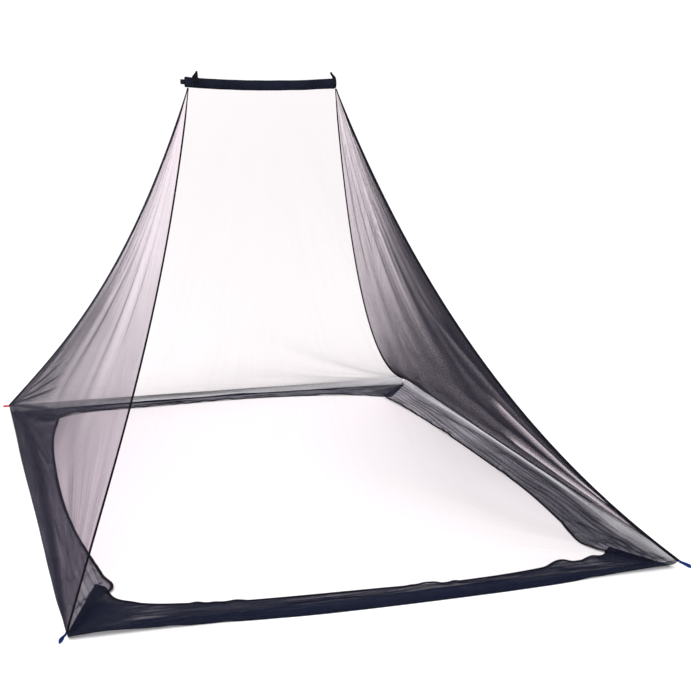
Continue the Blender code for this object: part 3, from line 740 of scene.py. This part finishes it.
# The front and back strips' ends reach under the side strips by UNDERLAP, and lie flat as far in
# as they are COVERED. The side strips stay raised past that by LAP_SPARE, and sink over LAP_SLOPE.
UNDERLAP, COVERED = 0.022, 0.155
LAP_SPARE, LAP_SLOPE = 0.08, 0.06
RIPPLE_WIDE, RIPPLE_TALL = 0.021, 0.0034
FLUTTER = {"front": 0.012, "right": 0.006, "back": 0.006, "left": 0.003}
# How dense each strip looks at its first end and at its last.
SKIRT_LAYERS = {"front": (26, 23), "right": (15, 7), "back": (13, 16), "left": (12, 11)}
SKIRT_LINES = {"front": 0.8, "right": 0.3, "back": 0.5, "left": 0.25}  # how strong its lines are
# Bands along each strip: where from the seam to the inner edge, how wide, how much denser.
SKIRT_BANDS = in_units(
    {
        "front": ((10, 16, 0.9), (42, 5, 0.8), (62, 3.5, 0.6),),
        "right": ((2, 3, 0.8), (20, 11, -0.6), (36, 2, 0.5), (70, 3, 0.3),),
        "back": ((10, 14, 0.6), (50, 5, 0.5),),
        "left": ((5, 8, 0.3),),
    },
    (100, 100, 1),
)
# Creases and pockets near the pegs: x and y of both ends, the half width there, how much denser.
SKIRT_CREASES = in_units(
    {
        "front": (
            (-868, -1185, -785, -1035, 4, 24, 2.4), (-860, -1190, -520, -1150, 4, 8, 1.2),
            (875, -1185, 800, -1075, 8, 26, 2.2), (870, -1190, 560, -1150, 4, 8, 1.2),
        ),
        "right": (
            (882, -1190, 815, -1020, 6, 8, 0.8), (757, -975, 820, -1010, 4, 4, 1.2),
            (885, -1180, 800, -780, 4, 6, 0.7),
        ),
        "back": ((-880, 1230, -700, 1120, 6, 30, 0.8),),
        "left": (
            (-846, 1200, -846, 330, 10, 14, 2), (-846, 330, -874, -630, 14, 10, 2),
            (-874, -630, -896, -1150, 10, 6, 2), (-885, 1230, -829, 748, 4, 8, 0.9),
            (-885, 1230, -802, 422, 4, 6, 0.7), (-885, 1230, -760, 1030, 4, 12, 0.6),
            (-761, -863, -850, -1040, 3, 5, 1.2), (-885, -1190, -790, -960, 4, 10, 0.7),
        ),
    },
    (1000, 1000, 1000, 1000, 1000, 1000, 1),
)
NET_THICKNESS, SKIRT_CUT = 0.0012, 0.18  # the strips are cut this wide
SKIRT_EDGE = in_units(  # share of the hem's length, and the reach into the net
    {
        "front": (
            (78, 385), (80, 320), (87, 264), (104, 228), (140, 190), (198, 163), (288, 136),
            (508, 112), (631, 100), (786, 126), (829, 170), (850, 147), (909, 168), (922, 188),
            (930, 230),
        ),
        "right": (
            (75, 140), (92, 160), (113, 175), (154, 166), (205, 145), (336, 118), (484, 114),
            (650, 120), (800, 138), (912, 170),
        ),
        "back": ((85, 225), (180, 140), (340, 85), (480, 74), (660, 92), (839, 112), (920, 215),),
        "left": (
            (80, 188), (172, 148), (260, 125), (376, 109), (512, 100), (632, 105), (748, 127),
            (800, 141), (834, 149), (852, 161), (868, 157), (876, 146),
        ),
    },
    (1000, 1000),
)
SKIRT_BULGE = in_units(  # share of the hem's length, and how far the lower fold lies outside it
    {
        "front": (
            (0, -40), (5, -50), (10, -38), (16, -20), (23, -9), (30, 5), (40, 17), (57, 18),
            (73, 10), (81, -2), (89, -22), (100, -42),
        ),
        "right": ((0, -35), (10, -20), (25, 10), (50, 22), (75, 18), (90, -4), (100, -22),),
        "back": ((0, -22), (14, 2), (50, 18), (86, 2), (100, -22),),
        "left": ((0, -16), (12, -7), (30, -1), (60, -3), (88, -1), (100, -12),),
    },
    (100, 1000),
)
# From the seam to the inner edge: shares of the bulge outwards and inwards, of the height, of the
# reach and of the fold that lies along the middle.
SKIRT_ROWS = (
    (0.00, 0.00, 1.00, 0.00, 0.0),
    (0.60, 0.20, 0.62, 0.00, 0.0),
    (1.00, 0.60, 0.22, 0.00, 0.0),
    (0.90, 1.00, 0.00, 0.00, 0.0),
    (0.00, 0.00, 0.00, 0.24, 0.0),
    (0.00, 0.00, 0.00, 0.46, 1.0),
    (0.00, 0.00, 0.00, 0.66, 0.0),
    (0.00, 0.00, 0.00, 1.00, 0.0),
)


def along_curve(points, places, at):
    """The point at one place of a smooth curve, which passes each point at its own place."""
    k = max(i for i in range(len(places) - 1) if places[i] <= at + 1e-9)
    left, right = max(k - 1, 0), min(k + 2, len(places) - 1)
    span = places[k + 1] - places[k]
    slope_k = (points[k + 1] - points[left]) * (span / (places[k + 1] - places[left]))
    slope_next = (points[right] - points[k]) * (span / (places[right] - places[k]))
    t = min(max((at - places[k]) / span, 0.0), 1.0)
    return (
        points[k] * (2 * t**3 - 3 * t**2 + 1)
        + slope_k * (t**3 - 2 * t**2 + t)
        + points[k + 1] * (3 * t**2 - 2 * t**3)
        + slope_next * (t**3 - t**2)
    )


# %% Shape of a skirt
class Skirt:
    """One strip: where its points are, and what its maps say there."""

    def __init__(self, side):
        self.side, self.lies_under = side, side in ("front", "back")
        names = list(SIDES)
        self.before = names[names.index(side) - 1]
        self.after = names[(names.index(side) + 1) % 4]
        start, finish = (peg_point(name) for name in SIDES[side])
        self.pegs = [start.xy, finish.xy]
        self.start = Vector((start.x, start.y, 0))
        self.length = (finish - start).length
        self.along = (finish - start).normalized()
        self.inward = Vector((-self.along.y, self.along.x, 0))
        self.edge = [Vector((share * self.length, reach)) for share, reach in SKIRT_EDGE[side]]
        self.places = distances(self.edge)
        self.stations = {}

    def at(self, distance, inward, height):
        return self.start + self.along * distance + self.inward * inward + Vector((0, 0, height))

    def lap(self, distance, inward):
        """How far the side strips lie off the ground, over the ends of the other two."""
        if self.lies_under:
            return 0.0
        before, after = SKIRT_EDGE[self.before][-1][1], SKIRT_EDGE[self.after][0][1]
        covered = max(
            eased((before + LAP_SPARE - distance) / LAP_SLOPE),
            eased((after + LAP_SPARE - (self.length - distance)) / LAP_SLOPE),
        )
        return SKIRT_LAP * covered * eased(inward / 0.03)

    def station(self, share):
        """The strip's section at one place along it: kept, as the grid asks for it many times."""
        key = round(share, 6)
        if key not in self.stations:
            distance, reach = along_curve(self.edge, self.places, share * self.places[-1])
            places, bulges = zip(*SKIRT_BULGE[self.side])
            bulge = along_curve(bulges, places, share)
            top = SKIRT_GAP + (self.length - 2 * SKIRT_GAP) * share
            line = [self.row_point(share, top, distance, reach, bulge, row) for row in SKIRT_ROWS]
            self.stations[key] = (line, distances(line, least=1e-5))
        return self.stations[key]

    def row_point(self, share, top, distance, reach, bulge, row):
        out, drawn, height, inward, ridge = row
        if inward == 0:
            drawn_in = max(-bulge, 0) * drawn
            top += (distance - top) * drawn_in / reach
            rise = NET_THICKNESS / 2 + (PEG_HEIGHT - NET_THICKNESS / 2) * height
            point = self.at(top, drawn_in - max(bulge, 0) * out, rise)
            point.z += self.lap(top, drawn_in) * (1 - height)
            return point
        fold = self.row_point(share, top, distance, reach, bulge, SKIRT_ROWS[3])
        point = fold.lerp(self.at(distance, reach, 0), inward)
        wander = 0.7 + 0.3 * math.sin(7 * math.pi * share + len(self.side))
        rise = SKIRT_RIDGE * ridge * wander * eased((min(share, 1 - share) - 0.14) / 0.12)
        place = point - self.start
        point.z = NET_THICKNESS / 2 + rise + self.lap(place.dot(self.along), place.dot(self.inward))
        return point

    def base_point(self, share, down):
        line, steps = self.station(share)
        point = along_curve(line, steps, down * steps[-1])
        point.z = max(point.z, NET_THICKNESS / 2)
        return point

    def point(self, across, along):
        share, down = across, 1 - along
        point = self.base_point(share, down)
        place = point - self.start
        distance, inward = place.dot(self.along), place.dot(self.inward)
        on_ground = eased(inward / 0.02) * (1 - eased((down - 0.9) / 0.1))
        lift = self.ripple(distance, inward) * on_ground
        lift += self.flutter(distance) * eased((down - 0.72) / 0.28)
        if self.lies_under:  # its ends reach a little way under the side strips, and lie flat there
            room = min(distance, self.length - distance)
            under = min(UNDERLAP, 0.7 * room) * (1 - eased(min(share, 1 - share) / 0.02))
            point -= self.along * math.copysign(under, 0.5 - share)
            lift *= eased((room - COVERED) / 0.08)
        return point + Vector((0, 0, lift))

    def ripple(self, distance, inward):
        """Low folds that lie along the hem, where the strip is too long for its place."""
        seed = len(self.side)
        wander = noise.noise(Vector((distance * 2.3, 0.0, seed))) * 0.02
        wave = math.sin((inward + wander) / RIPPLE_WIDE * 2 * math.pi)
        strength = eased(0.5 + 1.1 * noise.noise(Vector((distance * 4.1, inward * 9, 4.2))))
        return RIPPLE_TALL * (1 + wave) * strength

    def flutter(self, distance):
        """How far the bound inner edge stands off the ground."""
        wave = noise.noise(Vector((distance * 26, 0.0, 2.5 + len(self.side))))
        slow = noise.noise(Vector((distance * 6, 0.0, 7.5 + len(self.side))))
        return FLUTTER[self.side] * max(0.7 * wave + 0.9 * slow + 0.15, 0.0)

    def flat_map(self, across, along):
        return (across * self.length, (1 - along) * self.station(across)[1][-1])

    def hang_map(self, across, along):
        """Lines on this map run along the hem."""
        return self.flat_map(across, along)[::-1]

    def fan_map(self, across, along):
        away = self.base_point(across, 1 - along).xy - self.pegs[0 if across < 0.5 else 1]
        return (math.atan2(abs(away.y), abs(away.x)), away.length)

    def tone(self, across, along):
        place, down = self.base_point(across, 1 - along).xy, 1 - along
        near_peg = min((place - peg).length for peg in self.pegs)
        fan = 1 - eased((near_peg - 0.1) / 0.35)
        first, last = SKIRT_LAYERS[self.side]
        layers = first + (last - first) * eased((across - 0.3) / 0.4)
        wander = 0.05 * noise.noise(Vector((across * 9, 0.0, 1.5 + len(self.side))))
        for middle, width, amount in SKIRT_BANDS[self.side]:
            layers *= 1 + amount * bell(down - middle - wander, width) * (1 - 0.8 * fan)
        for x, y, to_x, to_y, width, to_width, amount in SKIRT_CREASES[self.side]:
            start = Vector((x, y))
            share, distance = line_share(place, start, Vector((to_x, to_y)) - start)
            layers *= 1 + amount * bell(distance, width + (to_width - width) * share)
        lines = SKIRT_LINES[self.side]
        return (layers / MOST_GATHERED, lines * (1 - fan), lines * fan)


# %% Make the skirts
SKIRT_STEP, SKIRT_CELLS = 0.0065, 44  # the grid's step along the hem, and its cells inwards


def make_skirt(side):
    skirt = Skirt(side)
    grid = (int(skirt.length / SKIRT_STEP), SKIRT_CELLS)
    piece = lay_net(f"{side}_net_skirt", grid, skirt, (0, 0, 1))
    return dress(piece, skirt_net, f"{side}_skirt"), skirt


skirts = {side: make_skirt(side) for side in SIDES}

# %% [markdown]
# ## Woven tape, webbing and sleeve cloth
# Everything that isn't net is narrow woven stuff in black, navy, blue or red. One group gives the
# weave and another the rows of stitches; each finish places them with its own pitch, so that tape,
# webbing and cloth differ as they do in the hand.

# %% Groups: plain weave, and a row of stitches
def make_weave_group():
    group, given, result = new_group("plain_weave", ["Height"], Warp=0.001, Weft=0.001)
    parts = add_node(group, "SeparateXYZ", {0: given["Place"]})
    waves = []
    for axis, pitch in (("X", "Warp"), ("Y", "Weft")):
        turn = math_node(group, "DIVIDE", parts[axis], given[pitch])
        waves.append(math_node(group, "SINE", math_node(group, "MULTIPLY", turn, math.pi)))
    over = math_node(group, "MULTIPLY", *waves)
    group.links.new(math_node(group, "MULTIPLY_ADD", over, 0.5, 0.5), result["Height"])
    return group


def make_stitch_group():
    group, given, result = new_group("stitch_row", ["Stitch"], Row=0.0, Pitch=0.0035, Width=0.0009)
    parts = add_node(group, "SeparateXYZ", {0: given["Place"]})
    aside = math_node(group, "ABSOLUTE", math_node(group, "SUBTRACT", parts["X"], given["Row"]))
    aside = math_node(group, "DIVIDE", aside, given["Width"])
    near = math_node(group, "SUBTRACT", 1.0, aside, clamp=True)
    turn = math_node(group, "DIVIDE", parts["Y"], given["Pitch"])
    along = math_node(group, "SUBTRACT", math_node(group, "PINGPONG", turn, 0.5), 0.12)
    along = math_node(group, "MULTIPLY", along, 6.0, clamp=True)
    group.links.new(math_node(group, "MULTIPLY", near, along), result["Stitch"])
    return group


weave_group, stitch_group = make_weave_group(), make_stitch_group()
print("groups:", weave_group.name, stitch_group.name)

# %% Finish: woven stuff
WOVEN_ROUGHNESS, WEAVE_DEPTH = 0.8, 0.0003
WEAR_SCALE, WEAR_SHADES = 14.0, (0.75, 1.3)  # worn and fresh patches, darker and lighter
THREAD_SHADE = 1.8  # the sewing thread is this much lighter than its cloth


def make_woven(name, colour, pitch, rows):
    """A woven finish on the piece's own map, with rows of stitches at these places across it."""
    material, tree, shader = new_finish(name, colour, WOVEN_ROUGHNESS)
    place = uv_place(tree, "flat")
    inputs = {"Place": place, "Warp": pitch[0], "Weft": pitch[1]}
    weave = add_node(tree, "Group", inputs, node_tree=weave_group)["Height"]
    spot = add_node(tree, "TexCoord")["Object"]
    worn = ranged(tree, noise_at(tree, spot, WEAR_SCALE, 4.0), 0.3, 0.7, *WEAR_SHADES)
    # The weave's raised threads are painted lighter and its hollows darker, as painted light and
    # shade; the worn and fresh patches are the tape's own tone.
    wear_and_weave_shade = math_node(tree, "MULTIPLY", worn, math_node(tree, "MULTIPLY_ADD", weave, 0.5, 0.7))
    inputs = {"Factor": 1.0, "A": (*colour, 1), "B": wear_and_weave_shade}
    shade = add_node(tree, "Mix", inputs, data_type="RGBA", blend_type="MULTIPLY")["Result"]
    height = math_node(tree, "MULTIPLY", weave, 0.35)
    stitches = 0.0
    for row in rows:
        inputs = {"Place": place, "Row": row}
        line = add_node(tree, "Group", inputs, node_tree=stitch_group)["Stitch"]
        stitches = math_node(tree, "MAXIMUM", stitches, line)
    if rows:
        inputs = {"Factor": stitches, "A": shade, "B": (*(c * THREAD_SHADE for c in colour), 1)}
        shade = add_node(tree, "Mix", inputs, data_type="RGBA")["Result"]
        height = math_node(tree, "ADD", height, stitches)
    tree.links.new(shade, shader.inputs["Base Color"])
    bumped(tree, shader, height, 0.8, WEAVE_DEPTH)
    return material


seam_tape = make_woven("seam_tape", (0.0045, 0.0045, 0.0065), (0.0006, 0.0009), (0.0035, 0.0135))
sleeve_cloth = make_woven(
    "sleeve_cloth", (0.0055, 0.0068, 0.0140), (0.0009, 0.0009), (0.002, 0.0065)
)
black_webbing = make_woven("black_webbing", (0.0045, 0.0045, 0.0060), (0.0012, 0.0022), ())
blue_webbing = make_woven("blue_webbing", (0.009, 0.021, 0.115), (0.0012, 0.0022), ())
red_webbing = make_woven("red_webbing", (0.42, 0.045, 0.070), (0.0012, 0.0022), ())
print("finishes:", seam_tape.name, sleeve_cloth.name, black_webbing.name)

# %% [markdown]
# ## Hip seams
# The edges of two walls are sewn together and bound with a narrow folded tape that stands into the
# net. A flat grid is rolled into a thin oval tube round each hip; its own map keeps the stitches.

# %% Tapes round the hips
TAPE_DEEP, TAPE_TOP, TAPE_THICK = 0.0095, 0.0045, 0.0019
TAPE_PROUD, TAPE_SEWN_IN = 0.0010, 0.003  # its top end goes into the sleeve's seam
TAPE_START, TAPE_FULL = 0.002, 0.06  # of the way down: its top end, and where it is full depth
TAPE_SIDES = 12
TAPE_STEP = 0.012  # between two rings
CORNER_POWER = 0.7  # a lower one makes a band's section squarer


def square_to(run, direction):
    """The part of a direction that is square to the tape's run."""
    return (direction - run * direction.dot(run)).normalized()


def flat_oval(centre, wide, wide_half, thin, thin_half, around):
    """A point of a flat band's round-edged section."""
    angle = 2 * math.pi * around
    parts = (math.cos(angle), math.sin(angle))
    x, y = (math.copysign(abs(part) ** CORNER_POWER, part) for part in parts)
    return centre + wide * wide_half * x + thin * thin_half * y


def make_strip(name, solid, finish, grid, wide, length, place):
    """A band rolled from a flat grid, with its ends capped. Its map shows both of its faces."""
    flat = {"flat": lambda around, along: (around * 2 * wide, along * length)}
    return dress(laid_cloth(name, *grid, place, flat, ends="capped"), finish, solid)


def tape_point(name, around, along):
    hip, down = HIPS[name], TAPE_START + (1 - TAPE_START) * (1 - along)
    run = hip_run(name, down)
    across = square_to(run, Vector((-hip["side"], 0, 0)))
    inward = (across + square_to(run, Vector((0, -hip["end"], 0)))).normalized()
    deep = TAPE_TOP + (TAPE_DEEP - TAPE_TOP) * eased(down / TAPE_FULL)
    centre = hip_point(name, down) + inward * (deep / 2 - TAPE_PROUD)
    centre.z += TAPE_SEWN_IN * (1 - eased(down / 0.01))
    return flat_oval(centre, inward, deep / 2, run.cross(inward), TAPE_THICK / 2, around)


def make_hip_tape(name):
    length = hip_length(name)
    return make_strip(
        f"hip_tape_{name}", f"hip_seam_{name}", seam_tape,
        (TAPE_SIDES, int(length / TAPE_STEP)), TAPE_DEEP, length,
        lambda around, along: tape_point(name, around, along),
    )


hip_tapes = {name: make_hip_tape(name) for name in HIPS}

# %% [markdown]
# ## Bindings of the skirts
# The inner edge of each skirt is folded into the same tape. It follows the edge of its own net,
# waves and all, so it is made from the skirt's own points.

# %% Bindings
BINDING_WIDE, BINDING_THICK, BINDING_OVER = 0.0100, 0.0024, 0.0028
BINDING_STEP = 0.008


def binding_point(skirt, around, along):
    step = 0.004
    here = skirt.point(along, 0.0)
    before, after = skirt.point(max(along - step, 0), 0.0), skirt.point(min(along + step, 1), 0.0)
    run = (after - before).normalized()
    away = Vector((-run.y, run.x, 0)).normalized()
    up = run.cross(away)
    up = up if up.z > 0 else -up
    centre = here + away * (BINDING_WIDE / 2 - BINDING_OVER) + up * BINDING_THICK * 0.15
    point = flat_oval(centre, away, BINDING_WIDE / 2, up, BINDING_THICK / 2, around)
    point.z = max(point.z, 0.0)
    return point


def make_binding(side):
    _, skirt = skirts[side]
    length = skirt.places[-1]
    return make_strip(
        f"{side}_binding_tape", f"{side}_skirt_binding", seam_tape,
        (TAPE_SIDES, int(length / BINDING_STEP)), TAPE_DEEP, length,
        lambda around, along: binding_point(skirt, around, along),
    )


bindings = {side: make_binding(side) for side in SIDES}

# %% [markdown]
# ## The sleeve and its bar
# A strip of dark cloth is folded round the bar and sewn shut along its lower edge, where the net
# goes into the seam. Its ends are hemmed. The bar is a plain rod that only shows at the sleeve's
# left end.

# %% Sleeve
SLEEVE_SIDES, SLEEVE_STEPS = 40, 90
SLEEVE_WALL = 0.0015
SLEEVE_GIRTH = math.pi * (SLEEVE_HALF_DEPTH + SLEEVE_HALF_HEIGHT)
HEM_WIDE, HEM_PROUD = 0.016, 0.0007
WRINKLES, WRINKLE_DEEP = 16, 0.0009  # how many to the metre, and how deep


def sleeve_share(along):
    """The cloth goes along the outside of the tube, over its end, and back along the inside."""
    return 2 * along if along < 0.5 else 2 - 2 * along


def sleeve_point(around, along):
    x = SLEEVE_LEFT + (SLEEVE_RIGHT - SLEEVE_LEFT) * sleeve_share(along)
    from_end = min(x - SLEEVE_LEFT, SLEEVE_RIGHT - x)
    hem = HEM_PROUD * (1 - eased((from_end - HEM_WIDE) / 0.002))
    angle = 2 * math.pi * around - math.pi / 2
    spot = Vector((x * WRINKLES, math.cos(angle) * 1.4, math.sin(angle) * 1.4))
    wrinkle = noise.noise(spot) * WRINKLE_DEEP
    slack = hem + wrinkle if along < 0.5 else -SLEEVE_WALL
    y = (SLEEVE_HALF_DEPTH + slack) * math.cos(angle)
    z = (SLEEVE_HALF_HEIGHT + slack) * math.sin(angle)
    return bar_point(x) + Vector((0, y, z))


def sleeve_map(around, along):
    length = sleeve_share(along) * (SLEEVE_RIGHT - SLEEVE_LEFT)
    return (min(around, 1 - around) * SLEEVE_GIRTH, length)


sleeve = laid_cloth(
    "bar_sleeve", SLEEVE_SIDES, 2 * SLEEVE_STEPS, sleeve_point, {"flat": sleeve_map}, ends="joined"
)
dress(sleeve, sleeve_cloth, "top_sleeve")

# %% Bar
BAR_COLOUR = (0.006, 0.006, 0.007)
GRAIN_STRETCH, BAR_ROUGHNESS = (12, 400, 400), (0.38, 0.62)


def make_bar_finish():
    material, tree, shader = new_finish("black_rod", BAR_COLOUR, 0.5)
    spot = add_node(tree, "TexCoord")["Object"]
    stretched = add_node(tree, "Mapping", {"Vector": spot, "Scale": GRAIN_STRETCH})["Vector"]
    rub = ranged(tree, noise_at(tree, stretched, 5.0, 2.0), 0.0, 1.0, *BAR_ROUGHNESS)
    tree.links.new(rub, shader.inputs["Roughness"])
    return material


bar_finish = make_bar_finish()
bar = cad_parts["spreader_bar"]
for slot_of_bar in bar.material_slots:
    slot_of_bar.material = bar_finish
print("bar keeps its solid, with", bar_finish.name)

# %% [markdown]
# ## Webbing loops
# Two loops on the sleeve hang the canopy up, and one at each corner takes a peg. Each is a strip
# of webbing, folded back on itself and sewn down. A strip follows a path of a few named points.

# %% Hanging loops
WEBBING_THICK, WEBBING_SIDES = 0.0013, 16
HANG_LOOPS = {
    "hang_loop_left": dict(foot=-0.2475, width=0.020, tip=0.006, lean=0.006, reach=0),
    "hang_loop_right": dict(foot=0.2660, width=0.010, tip=0.006, lean=-0.012, reach=34),
}
LOOP_SEAT = 0.0019  # its middle lies this far outside the sleeve
LOOP_RISE = ((0.0062, 0.0235), (0.0056, 0.0300), (0.0040, 0.0360), (0.0016, 0.0402))


def on_path(path, at, step):
    """The point of a path at a distance along it, and the way that it runs there."""
    points, places = path
    behind, here, ahead = (
        along_curve(points, places, min(max(at + move, 0), places[-1])) for move in (-step, 0, step)
    )
    return here, (ahead - behind).normalized()


def hang_path(loop):
    """The loop's path in the plane across the bar: one half, and the other mirrored."""
    depth, height = SLEEVE_HALF_DEPTH + LOOP_SEAT, SLEEVE_HALF_HEIGHT + LOOP_SEAT
    angles = [math.radians(-loop["reach"] + k * (68 + loop["reach"]) / 8) for k in range(9)]
    half = [Vector((depth * math.cos(angle), height * math.sin(angle))) for angle in angles]
    half += [Vector(pair) for pair in LOOP_RISE]
    points = [Vector((-p.x, p.y)) for p in half] + half[::-1]
    return points, distances(points)


def hang_loop_point(loop, path, around, along):
    here, run = on_path(path, along * path[1][-1], 0.0005)
    tip = max(p.y for p in path[0])
    rise = eased((here.y - SLEEVE_HALF_HEIGHT) / (tip - SLEEVE_HALF_HEIGHT))
    width = loop["width"] + (loop["tip"] - loop["width"]) * rise
    middle = loop["foot"] + loop["lean"] * rise
    centre = Vector((middle, BAR_BACK + here.x, bar_point(middle).z + here.y))
    thin = Vector((0, run.y, -run.x))
    return flat_oval(centre, Vector((1, 0, 0)), width / 2, thin, WEBBING_THICK / 2, around)


def make_hang_loop(name):
    loop = HANG_LOOPS[name]
    path = hang_path(loop)
    return make_strip(
        f"webbing_{name}", name, black_webbing,
        (WEBBING_SIDES, 64), loop["width"], path[1][-1],
        lambda around, along: hang_loop_point(loop, path, around, along),
    )


hang_loops = {name: make_hang_loop(name) for name in HANG_LOOPS}

# %% Peg loops
PEG_LOOP_LONG, PEG_LOOP_HALF, PEG_LOOP_TALL = 0.040, 0.0052, 0.0090
PEG_LOOP_DROP, PEG_LOOP_TAB = 0.008, 0.009
PEG_AIM = (0.55, 0.83)  # aside and endwards: the way that a peg pulls its loop


def peg_loop_path():
    """From the corner, out to the eye's far end and back, seen from above."""
    eye, aside = PEG_LOOP_LONG - PEG_LOOP_TAB - WEBBING_THICK, WEBBING_THICK * 0.6
    points = [Vector((0.0, -aside)), Vector((PEG_LOOP_TAB * 0.6, -aside))]
    for k in range(1, 24):
        angle = 2 * math.pi * k / 24
        pinch = abs(math.sin(angle / 2)) ** 1.2
        reach = PEG_LOOP_TAB + eye * (1 - math.cos(angle)) / 2
        points.append(Vector((reach, -PEG_LOOP_HALF * math.sin(angle) * pinch)))
    points += [Vector((PEG_LOOP_TAB * 0.6, aside)), Vector((0.0, aside))]
    return points, distances(points)


def peg_loop_point(name, path, around, along):
    hip = HIPS[name]
    outward = Vector((hip["side"] * PEG_AIM[0], hip["end"] * PEG_AIM[1], 0)).normalized()
    across = Vector((-outward.y, outward.x, 0))
    here, run = on_path(path, along * path[1][-1], 0.0004)
    thin = outward * -run.y + across * run.x
    centre = peg_point(name) + outward * (here.x - 0.001) + across * here.y
    centre.z -= PEG_LOOP_TALL / 2 + PEG_LOOP_DROP * here.x / PEG_LOOP_LONG
    return flat_oval(centre, Vector((0, 0, 1)), PEG_LOOP_TALL / 2, thin, WEBBING_THICK / 2, around)


def make_peg_loop(name):
    path = peg_loop_path()
    at_front = HIPS[name]["end"] < 0
    slot, finish = ("loop_blue", blue_webbing) if at_front else ("loop_red", red_webbing)
    return make_strip(
        f"webbing_peg_loop_{name}", f"peg_loop_{name}", finish,
        (WEBBING_SIDES, 90), PEG_LOOP_TALL, path[1][-1],
        lambda around, along: peg_loop_point(name, path, around, along),
    )


peg_loops = {name: make_peg_loop(name) for name in HIPS}
